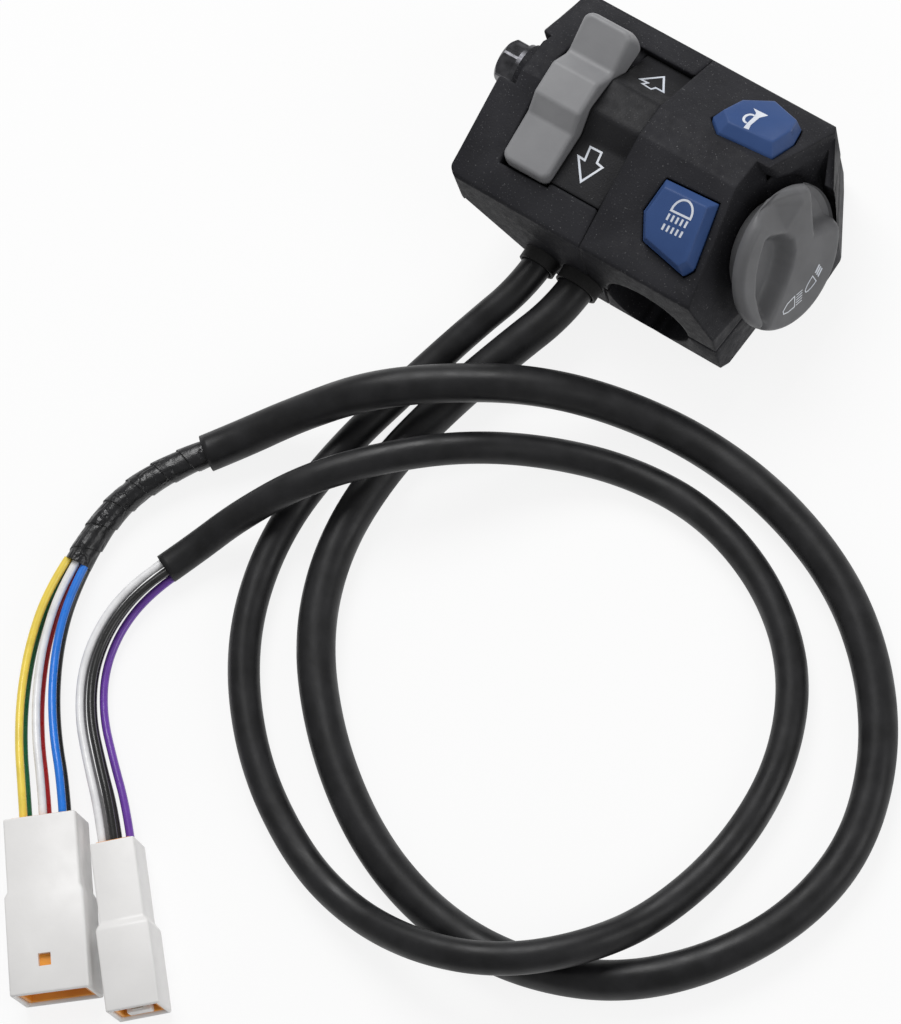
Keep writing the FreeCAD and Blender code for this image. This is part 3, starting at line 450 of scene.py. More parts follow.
# %% Tape
TAPE_RADIUS = 0.0035
TAPE_PITCH = 0.0065
TAPE_SIDES = 48
RINGS_PER_STEP = 8
CREASE_WIDTH = 0.07
tape_floor = FLOOR + TAPE_RADIUS
tape_route = [
    (-0.073, -0.106, thick_floor),
    (-0.078, -0.113, thick_floor),
    (-0.083, -0.123, -0.010),
    (-0.085, -0.134, tape_floor),
    (-0.084, -0.144, tape_floor),
]
tape_line = centre_line(tape_route)


def crease_at(turn, run):
    place = Vector((0.9 * math.cos(turn), 0.9 * math.sin(turn) + 120 * run, 70 * run))
    return 0.5 * max(0, CREASE_WIDTH - abs(noise.noise(place)))


def wound_tape(name, line):
    dense = []
    for a, b in zip(line, line[1:]):
        dense += [a.lerp(b, k / RINGS_PER_STEP) for k in range(RINGS_PER_STEP)]
    dense.append(line[-1])
    rings = []
    for run, (place, along, up, across) in zip(run_along(dense), carried_frames(dense)):
        ring = []
        for j in range(TAPE_SIDES):
            turn = 2 * math.pi * j / TAPE_SIDES
            step = (run / TAPE_PITCH + j / TAPE_SIDES) % 1.0
            bulge = 1 + 0.03 * math.sin(3 * turn + 90 * run) - crease_at(turn, run)
            reach = TAPE_RADIUS * (0.90 + 0.09 * step) * bulge
            ring.append(place + across * reach * math.cos(turn) + up * reach * math.sin(turn))
        rings.append(ring)
    return tube_of_rings(name, rings)


tape_black, tape_tree, tape_shader = new_material("tape_black")
tape_drift = noise_on_object(tape_tree, 220, 3)
colour_drift(tape_tree, tape_shader, tape_drift, (0.004, 0.004, 0.005), (0.012, 0.012, 0.014))
gloss_drift(tape_tree, tape_shader, noise_on_object(tape_tree, 260, 3), 0.22, 0.36)
grain(tape_tree, tape_shader, noise_on_object(tape_tree, 420, 4), 0.5, 0.0006)
tape = wound_tape("tape_wrap_spiral", tape_line)
tape.data.materials.append(tape_black)
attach(tape, "housing")
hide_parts("tape_wrap")
print("tape length", round(length_of(tape_line), 4))

# %% [markdown]
# ## The routes of the wires
# Eleven thin wires fan out from the ends. Each bundle has one spine. Every wire has its own
# offset from it at the sleeve and another at the plug, where the wires stand further apart.

# %% Wire routes
def wire_routes(spine, start_rows, end_rows):
    routes = []
    for (start_side, start_up), (end_side, end_up) in zip(start_rows, end_rows):
        route = []
        for i, place in enumerate(spine):
            before = Vector(spine[max(i - 1, 0)])
            after = Vector(spine[min(i + 1, len(spine) - 1)])
            along = after - before
            along.z = 0
            along.normalize()
            share = min(1, i / (len(spine) - 2))
            side = start_side + (end_side - start_side) * share
            up = start_up + (end_up - start_up) * share
            route.append(Vector(place) + Vector((-along.y * side, along.x * side, up)))
        routes.append(route)
    return routes


PLUG_WIDE_PLACE = Vector((-0.053, -0.1976, FLOOR + 0.0068))
PLUG_NARROW_PLACE = Vector((-0.0357, -0.1933, FLOOR + 0.0063))
wide_spine = [
    (-0.084, -0.144, tape_floor),
    (-0.0832, -0.152, tape_floor),
    (-0.0793, -0.1635, tape_floor),
    (-0.0732, -0.1742, -0.0096),
    (-0.066, -0.1834, -0.0082),
    (-0.0581, -0.1915, PLUG_WIDE_PLACE.z),
    tuple(PLUG_WIDE_PLACE),
]
narrow_spine = [
    (-0.065, -0.134, thin_floor),
    (-0.0676, -0.1405, thin_floor),
    (-0.0686, -0.1515, thin_floor),
    (-0.066, -0.1625, thin_floor),
    (-0.0594, -0.1722, -0.0094),
    (-0.0504, -0.180, -0.0084),
    (-0.0414, -0.1873, PLUG_NARROW_PLACE.z),
    tuple(PLUG_NARROW_PLACE),
]
wide_start = [(-0.00225, 0.00115), (0, 0.00125), (0.00225, 0.00115)]
wide_start += [(-0.00225, -0.00115), (0, -0.00125), (0.00225, -0.00115)]
wide_end = [(side, up) for up in (0.0022, -0.0022) for side in (-0.0046, 0, 0.0046)]
narrow_start = [(-0.0012, 0.00125), (0.0012, 0.00125)]
narrow_start += [(-0.0023, -0.00115), (0, -0.00125), (0.0023, -0.00115)]
narrow_end = [(-0.0028, 0.0022), (0, 0.0022), (-0.0028, -0.0022), (0, -0.0022), (0.0028, -0.0022)]
wide_routes = wire_routes(wide_spine, wide_start, wide_end)
narrow_routes = wire_routes(narrow_spine, narrow_start, narrow_end)
print("wire routes:", len(wide_routes), "and", len(narrow_routes))

# %% [markdown]
# ## The wires
# The insulation is glossy, with a thin clear coat over an almost even colour. A drawn wire is a
# little thinner than its cord's diameter, so that it stays clear of its neighbours.

# %% Wires
DRAWN_WIRE_RADIUS = 0.98 * WIRE_RADIUS


def wire_finish(name, colour):
    material, tree, shader = new_material(name)
    dark = [0.92 * c for c in colour]
    light = [min(1, 1.04 * c) for c in colour]
    colour_drift(tree, shader, noise_on_object(tree, 250, 3), dark, light)
    gloss_drift(tree, shader, noise_on_object(tree, 400, 2), 0.22, 0.36)
    grain(tree, shader, noise_on_object(tree, 1500, 2), 0.12, 0.0001)
    shader.inputs["Coat Weight"].default_value = 0.25
    shader.inputs["Coat Roughness"].default_value = 0.15
    return material


insulation = {
    "yellow": (0.95, 0.72, 0.10),
    "white": (0.88, 0.88, 0.89),
    "blue": (0.012, 0.20, 0.78),
    "green": (0.01, 0.22, 0.08),
    "red": (0.62, 0.015, 0.015),
    "black": (0.012, 0.012, 0.012),
    "grey": (0.30, 0.30, 0.31),
    "brown": (0.02, 0.017, 0.016),
    "purple": (0.17, 0.055, 0.42),
}
wire_look = {name: wire_finish("wire_" + name, colour) for name, colour in insulation.items()}
bundles = [
    ("wide", ("yellow", "white", "blue", "green", "red", "black"), wide_routes),
    ("narrow", ("white", "black", "grey", "brown", "purple"), narrow_routes),
]
wires = []
for bundle, names, routes in bundles:
    for name, route in zip(names, routes):
        wire = route_curve(bundle + "_wire_" + name, route, DRAWN_WIRE_RADIUS)
        wire.data.materials.append(wire_look[name])
        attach(wire, "housing")
        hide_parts("wire_" + bundle + "_" + name)
        wires.append((wire, route, bundle))
print("wires:", len(wires))

# %% [markdown]
# The length of each wire along its smooth line is worked out here.

# %% Wire lengths
for wire, route, bundle in wires:
    length_of(centre_line(route))
print("cords declared:", 2 + len(wires))

# %% [markdown]
# ## Finishes of the CAD parts
# The case is black plastic with a fine matt grain. Close up, tiny facets of the grain catch the lamp as
# pale glints. These glints are painted highlights: the peaks of a fine noise, mixed as a pale colour over
# the base colour.
# A row of the table gives the darkest and lightest colour, the gloss, and the size and depth of
# the grain in metres. Some rows go on with the grain's strength, the shine and the edge width.

# %% Finishes of the plastics
# The colour of the painted highlights, the pale glints of the lamp on the case's grain.
PAINTED_GLINT = (0.11, 0.11, 0.115)
EDGE_WIDTH = 0.0009


def glint_painted(name, dark, light, gloss, glint_from):
    material, tree, shader = new_material(name)
    ramp = colour_drift(tree, shader, noise_on_object(tree, 70, 4), dark, light)
    # Painted highlights: where this fine noise peaks, the pale glint colour is mixed over the base colour.
    painted_glints = noise_on_object(tree, 2600, 2)
    mask = tree.nodes.new("ShaderNodeMapRange")
    mask.inputs["From Min"].default_value = glint_from
    mask.inputs["From Max"].default_value = glint_from + 0.08
    blend = tree.nodes.new("ShaderNodeMix")
    blend.data_type = "RGBA"
    tree.links.new(painted_glints.outputs["Fac"], mask.inputs["Value"])
    tree.links.new(mask.outputs["Result"], blend.inputs["Factor"])
    tree.links.new(ramp.outputs["Color"], blend.inputs["A"])
    blend.inputs["B"].default_value = (*PAINTED_GLINT, 1)
    tree.links.new(blend.outputs["Result"], shader.inputs["Base Color"])
    gloss_drift(tree, shader, noise_on_object(tree, 500, 3), gloss - 0.08, gloss + 0.08)
    grain(tree, shader, noise_on_object(tree, 2200, 3), 0.55, 0.00012, EDGE_WIDTH)
    shader.inputs["Specular IOR Level"].default_value = 0.13
    return material


look = {}
look["case_black"] = glint_painted("case_black", (0.018, 0.018, 0.021), (0.027, 0.027, 0.031), 0.6, 0.66)
look["panel_black"] = glint_painted("panel_black", (0.018, 0.018, 0.02), (0.027, 0.027, 0.029), 0.5, 0.69)
plastics = {
    "rocker_grey": ((0.225, 0.226, 0.235), (0.262, 0.263, 0.272), 0.5, 0.0004, 0.00005, 0.35),
    "knob_grey": ((0.112, 0.113, 0.118), (0.138, 0.139, 0.145), 0.48, 0.0004, 0.00005, 0.35),
    "button_blue": ((0.037, 0.077, 0.21), (0.043, 0.088, 0.235), 0.42, 0.0005, 0.00004, 0.3, 0.2, 0.0006),
    "gland_rubber": ((0.012, 0.012, 0.012), (0.022, 0.022, 0.022), 0.62, 0.0006, 0.0001),
    "plug_white": ((0.84, 0.83, 0.82), (0.88, 0.87, 0.86), 0.36, 0.0012, 0.00005, 0.3),
    "seal_orange": ((0.80, 0.30, 0.03), (0.88, 0.37, 0.05), 0.42, 0.0005, 0.00006),
}
for name, values in plastics.items():
    look[name] = moulded(name, *values)
print("plastics:", *look)

# %% [markdown]
# Metals are worn zinc, dark steel, spring steel and brass. Brushing is a noise stretched along
# one axis that drives the gloss, and a second noise tints the plating where it has dulled.

# %% Finishes of the metals
BRUSH_STRETCH = (40, 900, 900)


def metal(name, dull, bright, gloss):
    material, tree, shader = new_material(name)
    shader.inputs["Metallic"].default_value = 1.0
    colour_drift(tree, shader, noise_on_object(tree, 400, 4), dull, bright)
    lines = noise_on_object(tree, 1, 3)
    place = lines.inputs["Vector"].links[0].from_socket
    stretch = tree.nodes.new("ShaderNodeMapping")
    stretch.inputs["Scale"].default_value = BRUSH_STRETCH
    tree.links.new(place, stretch.inputs["Vector"])
    tree.links.new(stretch.outputs["Vector"], lines.inputs["Vector"])
    gloss_drift(tree, shader, lines, gloss - 0.1, gloss + 0.12)
    grain(tree, shader, lines, 0.2, 0.00005)
    return material


look["zinc_steel"] = metal("zinc_steel", (0.42, 0.41, 0.38), (0.62, 0.61, 0.58), 0.35)
look["dark_steel"] = metal("dark_steel", (0.055, 0.055, 0.06), (0.13, 0.13, 0.14), 0.34)
look["spring_steel"] = metal("spring_steel", (0.45, 0.45, 0.46), (0.62, 0.62, 0.63), 0.3)
look["contact_brass"] = metal("contact_brass", (0.50, 0.36, 0.13), (0.72, 0.54, 0.24), 0.3)
print("finishes:", sorted(look))

# %% [markdown]
# Each CAD node gets its finish here, apart from the cables, which are drawn anew above.

# %% Dress the CAD nodes
finish_of = {
    "clamp_case": "case_black",
    "button_case": "case_black",
    "clamp_half": "case_black",
    "signal_panel": "panel_black",
    "signal_rocker": "rocker_grey",
    "light_knob": "knob_grey",
    "flash_button": "button_blue",
    "horn_button": "button_blue",
    "clamp_screw_near": "zinc_steel",
    "clamp_screw_far": "zinc_steel",
    "clamp_nut": "zinc_steel",
    "rocker_pin": "zinc_steel",
    "clamp_bolt": "dark_steel",
    "bolt_washer": "dark_steel",
    "flash_spring": "spring_steel",
    "horn_spring": "spring_steel",
    "flash_contact": "contact_brass",
    "horn_contact": "contact_brass",
    "gland_thin": "gland_rubber",
    "gland_thick": "gland_rubber",
    "plug_wide": "plug_white",
    "plug_narrow": "plug_white",
    "plug_wide_wire_seal": "seal_orange",
    "plug_narrow_wire_seal": "seal_orange",
    "plug_wide_ring_seal": "seal_orange",
    "plug_narrow_ring_seal": "seal_orange",
    "plug_wide_retainer": "seal_orange",
    "plug_narrow_retainer": "zinc_steel",
}
for node, finish in finish_of.items():
    for slot in nodes[node].material_slots:
        slot.material = look[finish]
print("dressed", len(finish_of), "CAD nodes")

# %% [markdown]
# ## Moulded edges
# A moulding has no sharp edges, and the solids do. Six moulded parts are therefore shown by
# merged copies of their solids: flat faces are joined again, the long outer corners are marked by
# a bevel weight, and a Bevel modifier rounds them. The buttons' side has corners too tight for
# the modifier. Its copy is only merged, and the Bevel node of its finish rounds it in the shading.

# %% Case parts and caps with rounded edges
MM = 0.001
CORNER_LENGTH = 2.4 * MM
CORNER_TURN = math.radians(20)
MERGE_DISTANCE = 0.002 * MM
rounding_of = {
    "clamp_case": (0.9, "housing"),
    "button_case": (None, "housing"),
    "clamp_half": (0.7, "housing"),
    "signal_panel": (0.3, "housing"),
    "flash_button": (0.5, "flasher"),
    "horn_button": (0.5, "horn"),
}


def select_only(piece):
    bpy.ops.object.select_all(action="DESELECT")
    piece.select_set(True)
    bpy.context.view_layer.objects.active = piece


def apply_modifiers(piece):
    select_only(piece)
    for name in [modifier.name for modifier in piece.modifiers]:
        bpy.ops.object.modifier_apply(modifier=name)


def smooth_up_to(piece, degrees):
    select_only(piece)
    bpy.ops.object.shade_smooth_by_angle(angle=math.radians(degrees))


def rounded(piece, width, segments=3, limit="ANGLE"):
    bevel = piece.modifiers.new("edges", "BEVEL")
    bevel.width = width * MM
    bevel.segments = segments
    bevel.limit_method = limit
    bevel.angle_limit = math.radians(30)
    bevel.use_clamp_overlap = limit == "ANGLE"
    apply_modifiers(piece)


def copy_of_node(node, name):
    piece = bpy.data.objects.new(name, nodes[node].data.copy())
    bpy.context.scene.collection.objects.link(piece)
    piece.matrix_world = nodes[node].matrix_world.copy()
    return piece


def merged(piece):
    select_only(piece)
    bpy.ops.object.mode_set(mode="EDIT")
    bpy.ops.mesh.select_all(action="SELECT")
    bpy.ops.mesh.remove_doubles(threshold=MERGE_DISTANCE)
    bpy.ops.mesh.dissolve_limited(angle_limit=math.radians(1))
    bpy.ops.mesh.normals_make_consistent(inside=False)
    bpy.ops.mesh.select_all(action="DESELECT")
    shape = bmesh.from_edit_mesh(piece.data)
    for edge in shape.edges:
        long_enough = edge.calc_length() > CORNER_LENGTH
        edge.select_set(edge.calc_face_angle_signed(0) > CORNER_TURN and long_enough)
    bmesh.update_edit_mesh(piece.data)
    bpy.ops.transform.edge_bevelweight(value=1)
    bpy.ops.object.mode_set(mode="OBJECT")


moulded_part = {}
for node, (width, body) in rounding_of.items():
    piece = copy_of_node(node, node + "_moulded")
    merged(piece)
    if width:
        rounded(piece, width, limit="WEIGHT")
    smooth_up_to(piece, 32)
    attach(piece, body)
    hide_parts(node)
    moulded_part[node] = piece
    print(node, "faces", len(piece.data.polygons))

# %% [markdown]
# ## The light knob
# The knob is a pinch knob: a disc whose face keeps a raised bar, with a finger scoop on each side.
# Its underside and rim are turned, so a profile is drawn as a chain of edges and spun round the
# axis. All sizes are in millimetres.

# %% The knob's disc
KNOB_PLACE = Vector((17.207, -2.2, 10.2)) * MM
KNOB_AXIS = Vector((0.93969, 0, 0.34202))
KNOB_UP = Vector((-0.34202, 0, 0.93969))
KNOB_ACROSS = Vector((0, 1, 0))
KNOB_RADIUS = 17.3
KNOB_FACE = 8.6
RING_STEP = 0.45
knob_profile = [(0, 0.4), (12, 0.4), (12, 4.0), (15.6, 4.8), (17.0, 5.5)]
knob_profile += [(KNOB_RADIUS, 6.2), (KNOB_RADIUS, 7.0), (KNOB_RADIUS - 0.15, 7.6)]
knob_profile += [(KNOB_RADIUS - 0.45, 8.1), (KNOB_RADIUS - 0.8, 8.45)]
knob_profile += [(KNOB_RADIUS - 1.2 - RING_STEP * k, KNOB_FACE) for k in range(35)]
knob_profile += [(0, KNOB_FACE)]


def turned(place, across, up, normal):
    turn = Matrix((across, up, normal)).transposed().to_4x4()
    turn.translation = place
    return turn


def spun(name, profile, steps):
    corners = [(x * MM, 0, z * MM) for x, z in profile]
    edges = [(k, k + 1) for k in range(len(corners) - 1)]
    mesh = bpy.data.meshes.new(name)
    mesh.from_pydata(corners, edges, [])
    piece = bpy.data.objects.new(name, mesh)
    bpy.context.scene.collection.objects.link(piece)
    select_only(piece)
    bpy.ops.object.mode_set(mode="EDIT")
    bpy.ops.mesh.select_all(action="SELECT")
    bpy.ops.mesh.spin(steps=steps, angle=2 * math.pi, center=(0, 0, 0), axis=(0, 0, 1))
    bpy.ops.mesh.select_all(action="SELECT")
    bpy.ops.mesh.remove_doubles(threshold=0.01 * MM)
    bpy.ops.mesh.normals_make_consistent(inside=False)
    bpy.ops.object.mode_set(mode="OBJECT")
    return piece


knob = spun("pinch_knob", knob_profile, 144)
print("knob disc faces", len(knob.data.polygons))

# %% [markdown]
# The scoops aren't turned. The vertices of the face are lowered by how far they lie inside a
# scoop's outline, with a soft slope at its edge, as a ball-ended cutter would leave it. The top
# of the face falls away as a flat slope. Towards the rim's foot all cuts fade out.

# %% The knob's scoops
LEFT_DEPTH = 4.0
LEFT_BANK = 3.8
RIGHT_DEPTH = 3.8
RIGHT_BANK = 3.0
BANK_START = 0.2
SLOPE_RATE = 0.40
SLOPE_DEPTH = 2.4
RIM_FOOT = 6.2
RIM_HEIGHT = 1.6
LOWEST_CUT = 4.6
left_scoop = [(-2.6, 12.8), (-0.5, 12.0), (3.3, 7.3), (3.8, 3.8), (2.3, 0.6), (-0.8, -2.0)]
left_scoop += [(-4.9, -4.1), (-10, -5.8), (-15, -7.4), (-19, -8), (-15.4, -4.5)]
left_scoop += [(-14.7, -1.3), (-12.8, 3.8), (-9.6, 8.0), (-5.9, 11.0)]
right_scoop = [(14.6, 12.5), (13.1, 7.7), (11.0, 4.0), (7.9, -1.8)]
right_scoop += [(14.2, -7.9), (17.5, -9.2), (26, -9), (26, 14)]
top_slope = [(11.2, 22), (10.9, 14.6), (11.0, 8.8), (3.0, 8.4), (-0.8, 13.6), (-4.2, 22)]


def depth_inside(x, y, outline):
    nearest = math.inf
    inside = False
    for (ax, ay), (bx, by) in zip(outline, outline[1:] + outline[:1]):
        dx = bx - ax
        dy = by - ay
        share = max(0, min(1, ((x - ax) * dx + (y - ay) * dy) / (dx * dx + dy * dy)))
        nearest = min(nearest, math.hypot(x - ax - share * dx, y - ay - share * dy))
        if (ay > y) != (by > y) and x < ax + (y - ay) * dx / dy:
            inside = not inside
    return nearest if inside else -nearest


def soft_step(value):
    value = max(0, min(1, value))
    return value * value * (3 - 2 * value)


def knob_cut(x, y):
    left = LEFT_DEPTH * soft_step((depth_inside(x, y, left_scoop) + BANK_START) / LEFT_BANK)
    right = RIGHT_DEPTH * soft_step((depth_inside(x, y, right_scoop) + BANK_START) / RIGHT_BANK)
    slope = min(SLOPE_DEPTH, max(0, SLOPE_RATE * depth_inside(x, y, top_slope)))
    return max(left, right, slope)


for vertex in knob.data.vertices:
    x, y, z = vertex.co / MM
    if z > RIM_FOOT:
        cut = knob_cut(x, y) * soft_step((z - RIM_FOOT) / RIM_HEIGHT)
        vertex.co.z = max(z - cut, LOWEST_CUT) * MM
knob.data.transform(turned(KNOB_PLACE, KNOB_ACROSS, KNOB_UP, KNOB_AXIS))
knob.data.materials.append(look["knob_grey"])
smooth_up_to(knob, 40)
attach(knob, "knob")
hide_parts("light_knob")
print("knob faces", len(knob.data.polygons))

# %% [markdown]
# ## The plugs
# Each plug is a white shell with a narrower back, a soft shoulder and an open mouth. It is drawn
# as by hand: a cube for the back, its end face extruded and widened for the shoulder, extruded
# again for the front, then inset and pushed in for the mouth. A Bevel rounds all corners. The
# wide plug also gets a little window, cut by a Boolean. All sizes are in millimetres.

# %% Helpers for the plugs
PLUG_LENGTH = {"plug_wide": 41.0, "plug_narrow": 39.0}
PLUG_HEADING = {"plug_wide": -50.1, "plug_narrow": -46.6}
SHOULDER = 1.4
MOUTH_DEPTH = 11
BACK_RIM = 1.9
BACK_RECESS = 1.5


def middle_of(node):
    low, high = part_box(node)
    return (Vector(low) + Vector(high)) / 2


def plug_turn(node):
    heading = math.radians(PLUG_HEADING[node])
    along = Vector((math.cos(heading), math.sin(heading), 0))
    place = middle_of(node) - along * PLUG_LENGTH[node] / 2 * MM
    return turned(place, along, Vector((-along.y, along.x, 0)), Vector((0, 0, 1)))


def block(name, x0, x1, width, height, y=0, z=0):
    bpy.ops.object.select_all(action="DESELECT")
    bpy.ops.mesh.primitive_cube_add(size=1)
    piece = bpy.context.object
    piece.name = name
    size = Matrix.Diagonal(((x1 - x0) * MM, width * MM, height * MM, 1))
    piece.data.transform(Matrix.Translation(((x0 + x1) / 2 * MM, y * MM, z * MM)) @ size)
    return piece


def select_end(piece, x):
    bpy.ops.mesh.select_all(action="DESELECT")
    bpy.ops.mesh.select_mode(type="FACE")
    shape = bmesh.from_edit_mesh(piece.data)
    for face in shape.faces:
        face.select_set(all(abs(corner.co.x - x * MM) < 1e-6 for corner in face.verts))
    bmesh.update_edit_mesh(piece.data)


def push(dx, wider=1, higher=1):
    bpy.ops.mesh.extrude_region_move(TRANSFORM_OT_translate={"value": (dx * MM, 0, 0)})
    bpy.ops.transform.resize(value=(1, wider, higher), center_override=(0, 0, 0))


def cut_by(piece, cutter):
    cut = piece.modifiers.new("cut", "BOOLEAN")
    cut.operation = "DIFFERENCE"
    cut.solver = "EXACT"
    cut.object = cutter
    apply_modifiers(piece)
    bpy.data.objects.remove(cutter)


def placed(piece, node, finish, *replaced):
    piece.data.transform(plug_turn(node))
    piece.data.materials.append(look[finish])
    smooth_up_to(piece, 40)
    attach(piece, "housing")
    if replaced:
        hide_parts(*replaced)
    print(piece.name, "faces", len(piece.data.polygons))


print("helpers for plugs ready")

# %% [markdown]
# The back and front of a shell are given as width and height. Its waist is where the front
# begins, measured from the back. A thin orange liner stands in each mouth.

# %% Shells and liners
LINER_SETBACK = 0.7
LINER_FLOOR = 1.5


def plug_shell(node, back, front, waist, wall):
    shell = block(node + "_shell", 0, waist - SHOULDER, *back)
    select_only(shell)
    bpy.ops.object.mode_set(mode="EDIT")
    select_end(shell, waist - SHOULDER)
    push(SHOULDER, front[0] / back[0], front[1] / back[1])
    push(PLUG_LENGTH[node] - waist)
    bpy.ops.mesh.inset(thickness=wall * MM)
    push(-MOUTH_DEPTH)
    select_end(shell, 0)
    bpy.ops.mesh.inset(thickness=BACK_RIM * MM)
    push(BACK_RECESS)
    bpy.ops.mesh.select_all(action="SELECT")
    bpy.ops.mesh.normals_make_consistent(inside=False)
    bpy.ops.object.mode_set(mode="OBJECT")
    rounded(shell, 0.8)
    return shell


def liner(node, width, height, wall, *replaced):
    length = PLUG_LENGTH[node]
    ring = block(node + "_liner", length - MOUTH_DEPTH, length - LINER_SETBACK, width, height)
    floor = length - MOUTH_DEPTH + LINER_FLOOR
    cut_by(ring, block("core", floor, length + 1, width - 2 * wall, height - 2 * wall))
    rounded(ring, 0.35, 2)
    placed(ring, node, "seal_orange", *replaced)


print("helpers for shells and liners ready")

# %% [markdown]
# The window lies near the mouth of the wide plug, on its upper side, and the liner shows in it.

# %% The wide plug
shell = plug_shell("plug_wide", (17.0, 12.4), (18.3, 13.5), waist=18.4, wall=1.1)
cut_by(shell, block("window", 32.0, 34.9, 2.9, 4, -0.6, 6.5))
placed(shell, "plug_wide", "plug_white", "plug_wide")
liner("plug_wide", 16.0, 11.2, 0.9, "plug_wide_ring_seal", "plug_wide_retainer")

# %% [markdown]
# The narrow plug has a white core in its mouth, with a metal tab above it.

# %% The narrow plug
shell = plug_shell("plug_narrow", (10.4, 10.8), (12.3, 12.5), waist=20.0, wall=1.0)
placed(shell, "plug_narrow", "plug_white", "plug_narrow")
liner("plug_narrow", 10.2, 10.4, 0.8, "plug_narrow_ring_seal")
core = block("plug_narrow_core", 27.5, 38.6, 5.6, 3.4, z=-1.8)
rounded(core, 0.3, 2)
placed(core, "plug_narrow", "plug_white")
tab = block("plug_narrow_tab", 28.0, 38.4, 2.6, 0.7, z=1.2)
rounded(tab, 0.15, 2)
placed(tab, "plug_narrow", "zinc_steel", "plug_narrow_retainer")

# %% [markdown]
# ## The printed signs
# The arrows, the lamp and the horn are pad-printed in white. A print is a flat shape with a
# thickness of a few hundredths of a millimetre, so each sign starts as a flat filled curve. It
# becomes a mesh, is pressed onto the surface below with a Shrinkwrap modifier, and gets its
# thin coat of ink from Solidify.

# %% Helpers for flat strokes
def offset_at(points, i, closed):
    last = len(points) - 1
    here = Vector(points[i])
    steps = []
    if closed or i > 0:
        steps.append(here - Vector(points[i - 1]))
    if closed or i < last:
        steps.append(Vector(points[(i + 1) % len(points)]) - here)
    sides = [Vector((-step.y, step.x)).normalized() for step in steps]
    middle = sum(sides, Vector((0, 0))).normalized()
    return middle / max(0.4, middle.dot(sides[0]))


def stroke(points, width, closed=False):
    left = []
    right = []
    for i in range(len(points)):
        offset = offset_at(points, i, closed) * width / 2
        left.append(Vector(points[i]) + offset)
        right.append(Vector(points[i]) - offset)
    return [left, right] if closed else [left + right[::-1]]


def arc(x, y, rx, ry, start, end, steps=14):
    turns = [math.radians(start + (end - start) * k / steps) for k in range(steps + 1)]
    return [(x + rx * math.cos(turn), y + ry * math.sin(turn)) for turn in turns]


print("helpers for strokes ready")

# %% [markdown]
# The flat sign is held above its surface by its reach, in millimetres, and pressed down from
# there along the sign's own axis. A sign's surface is the piece that it is printed on.

# %% A helper for prints
INK_COAT = 0.05
ink_white = moulded("ink_white", (0.62, 0.66, 0.74), (0.80, 0.83, 0.88), 0.5, 0.0003, 0.00003)


def flat_curve(name, loops):
    data = bpy.data.curves.new(name, "CURVE")
    data.dimensions = "2D"
    data.fill_mode = "BOTH"
    for loop in loops:
        spline = data.splines.new("POLY")
        spline.points.add(len(loop) - 1)
        spline.use_cyclic_u = True
        for point, corner in zip(spline.points, loop):
            point.co = (corner[0] * MM, corner[1] * MM, 0, 1)
    curve = bpy.data.objects.new(name, data)
    bpy.context.scene.collection.objects.link(curve)
    return curve


def printed(name, loops, place, across, up, surface, body, reach):
    flat = flat_curve(name, loops)
    normal = across.cross(up)
    flat.matrix_world = turned(place + normal * reach * MM, across, up, normal)
    select_only(flat)
    bpy.ops.object.convert(target="MESH")
    sign = bpy.context.object
    bpy.ops.object.mode_set(mode="EDIT")
    bpy.ops.mesh.select_all(action="SELECT")
    bpy.ops.mesh.remove_doubles(threshold=MERGE_DISTANCE)
    bpy.ops.mesh.subdivide(number_cuts=2)
    bpy.ops.mesh.normals_make_consistent(inside=False)
    bpy.ops.object.mode_set(mode="OBJECT")
    if sign.data.polygons[0].normal.z < 0:
        sign.data.flip_normals()
    press = sign.modifiers.new("press", "SHRINKWRAP")
    press.target = surface
    press.wrap_method = "PROJECT"
    press.use_project_z = True
    press.use_positive_direction = False
    press.use_negative_direction = True
    coat = sign.modifiers.new("coat", "SOLIDIFY")
    coat.thickness = INK_COAT * MM
    coat.offset = 1.0
    apply_modifiers(sign)
    bpy.ops.object.transform_apply(location=True, rotation=True, scale=True)
    sign.data.materials.append(ink_white)
    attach(sign, body)
    print(name, "faces", len(sign.data.polygons))


print("ink and helper for prints ready")

# %% [markdown]
# The places below are measured from the seam between the case's two sides, in millimetres, and
# are moved into the scene's frame. A slope is the way a sign's upright lies on its surface.
# The panel carries the two arrows as outlines, one for each way of turning.

# %% Arrows on the panel
SEAM_TO_SCENE = Vector((-16, 0, 2))
ACROSS = Vector((1, 0, 0))
PRINT_LINE = 0.5
left_arrow = [(-9.8, 11.4), (-6.8, 11.5), (-6.4, 8.9), (-4.7, 8.6), (-7.2, 3.4), (-11.0, 8.2), (-9.2, 8.1)]
right_arrow = [(-9.4, 0.4), (-6.0, 5.2), (-3.1, 0.3), (-5.2, 0.3), (-5.6, -1.3), (-8.1, -1.0), (-7.5, 0.5)]


def from_seam(x, y, z):
    return (Vector((x, y, z)) + SEAM_TO_SCENE) * MM


panel_prints = [
    ("left_arrow_print", left_arrow, from_seam(0, -16.8, 21.2), Vector((0, 12.8, 1.1))),
    ("right_arrow_print", right_arrow, from_seam(0, 14.2, 21.6), Vector((0, 8.0, -5.3))),
]
for name, outline, place, slope in panel_prints:
    shape = stroke(outline, PRINT_LINE, closed=True)
    panel = moulded_part["signal_panel"]
    printed(name, shape, place, ACROSS, slope.normalized(), panel, "housing", reach=2.0)

# %% [markdown]
# The flasher's cap shows a headlamp, a rounded outline with two rows of rays. The horn's cap shows
# a horn, a bell with the bow of its tube. Each cap follows the slope of the case: the flasher's
# side rises 10 mm in 27 mm, and the horn's side falls 13 mm in 20 mm. The height of a sign is
# worked out from the edge where its slope begins.

# %% Lamp on the flasher's cap, horn on the horn's cap
FLASH_SLOPE = Vector((0, 27, 10))
HORN_SLOPE = Vector((0, 20, -13))
FLASH_EDGE = Vector((0, -26, 18))
HORN_EDGE = Vector((0, 9.5, 27))


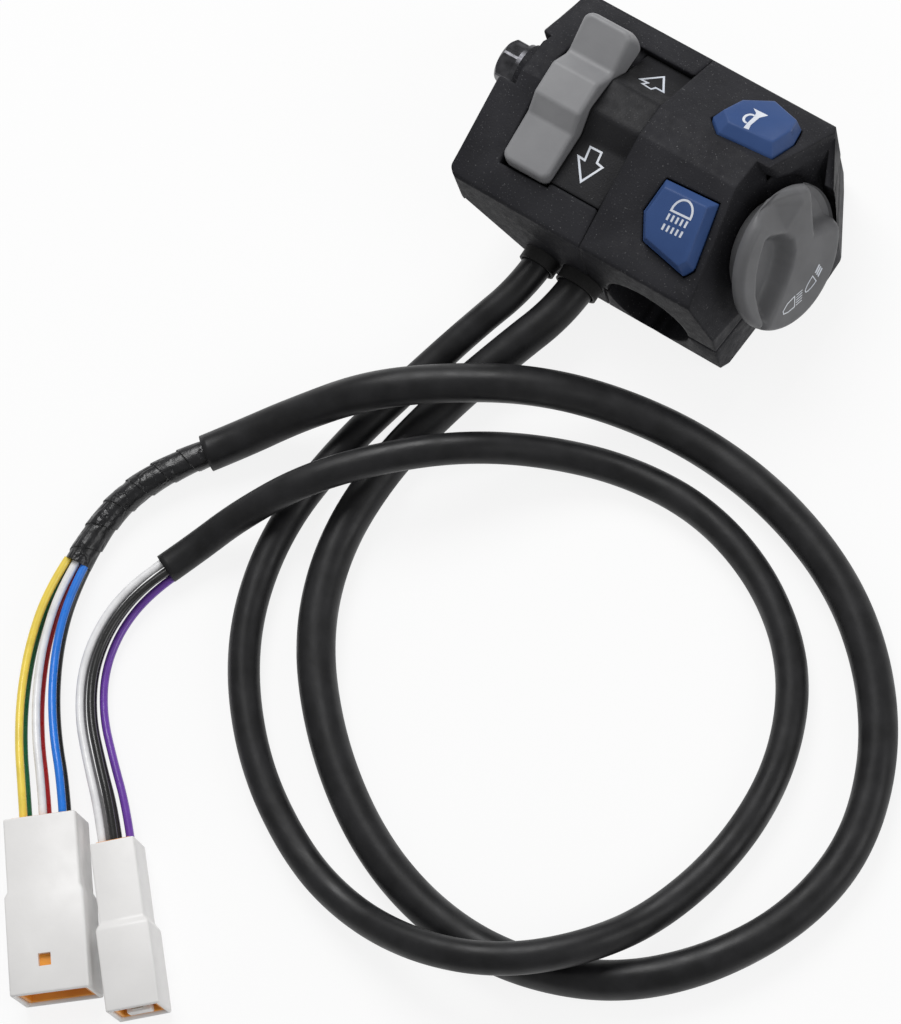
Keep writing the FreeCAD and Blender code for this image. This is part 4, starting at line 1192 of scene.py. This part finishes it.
def place_on_slope(x, y, edge, slope):
    return from_seam(x, y, edge.z + (y - edge.y) * slope.z / slope.y)


flash_place = place_on_slope(17.7, -12.0, FLASH_EDGE, FLASH_SLOPE)
horn_place = place_on_slope(20.3, 18.6, HORN_EDGE, HORN_SLOPE)
flash_up = FLASH_SLOPE.normalized()
horn_up = HORN_SLOPE.normalized()
lamp_outline = [(-1.6, 2.7)] + arc(0.85, 3.1, 2.45, 3.2, 170, 10) + [(3.3, 3.0)]
lamp = stroke(lamp_outline, PRINT_LINE, closed=True)
for k in range(5):
    x = -1.5 + 1.13 * k
    lamp += stroke([(x, 0.3 + 0.1 * k), (x, 1.9 + 0.1 * k)], PRINT_LINE)
    lamp += stroke([(x + 0.1, -2.1 + 0.1 * k), (x + 0.1, -0.6 + 0.1 * k)], PRINT_LINE)
bell = [(-2.9, 0.6), (-1.6, -0.4), (-1.25, -1.6), (-1.15, -5.4), (-0.9, -7.2)]
bell += [(0.3, -6.9), (-0.2, -5.2), (-0.15, -1.4), (0.9, 0.8)]
horn = [bell] + stroke(arc(-1.55, -3.4, 1.2, 1.8, 76, 284), 0.6)
cap_prints = [
    ("lamp_print", lamp, flash_place, flash_up, "flash_button", "flasher"),
    ("horn_print", horn, horn_place, horn_up, "horn_button", "horn"),
]
for name, shape, place, up, cap, body in cap_prints:
    printed(name, shape, place, ACROSS, up, moulded_part[cap], body, reach=5.0)

# %% [markdown]
# Two small lamps stand on the knob's face, near its rim. Each is a rounded outline with rays.

# %% Two lamps on the knob
THIN_LINE = 0.26
first_lamp = [(1.9, -10.0), (1.9, -12.2)] + arc(1.9, -11.1, 3.8, 1.1, 270, 90, 10)[1:-1]
second_lamp = [(-4.7, -8.6), (-7.3, -7.9), (-9.3, -8.2), (-9.6, -8.9), (-8.4, -9.9), (-6.3, -10.8)]
knob_signs = stroke(first_lamp, THIN_LINE, closed=True)
for k in range(3):
    knob_signs += stroke([(2.9, -10.2 - 0.8 * k), (5.0, -9.7 - 0.8 * k)], PRINT_LINE)
knob_signs += stroke(second_lamp, THIN_LINE, closed=True)
for k in range(5):
    knob_signs += stroke([(-4.2 - 0.4 * k, -8.9 - 0.5 * k), (-2.2 - 0.4 * k, -9.7 - 0.5 * k)], 0.2)
printed("knob_print", knob_signs, KNOB_PLACE, KNOB_ACROSS, KNOB_UP, knob, "knob", reach=11.0)

# %% [markdown]
# ## The springs under the caps
# In the real switch a press shortens the coil spring behind each cap, whose travel is 2 mm. Here each
# spring is copied into a mesh of its own, which goes with the housing, and the CAD spring is hidden. The
# foot of the spring stands on the face of the contact, half a millimetre above the contact's middle.


def shortening(node):
    spring = copy_of_node(node, node + "_coil")
    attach(spring, "housing")
    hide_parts(node)
    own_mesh(spring)


shortening("flash_spring")
shortening("horn_spring")
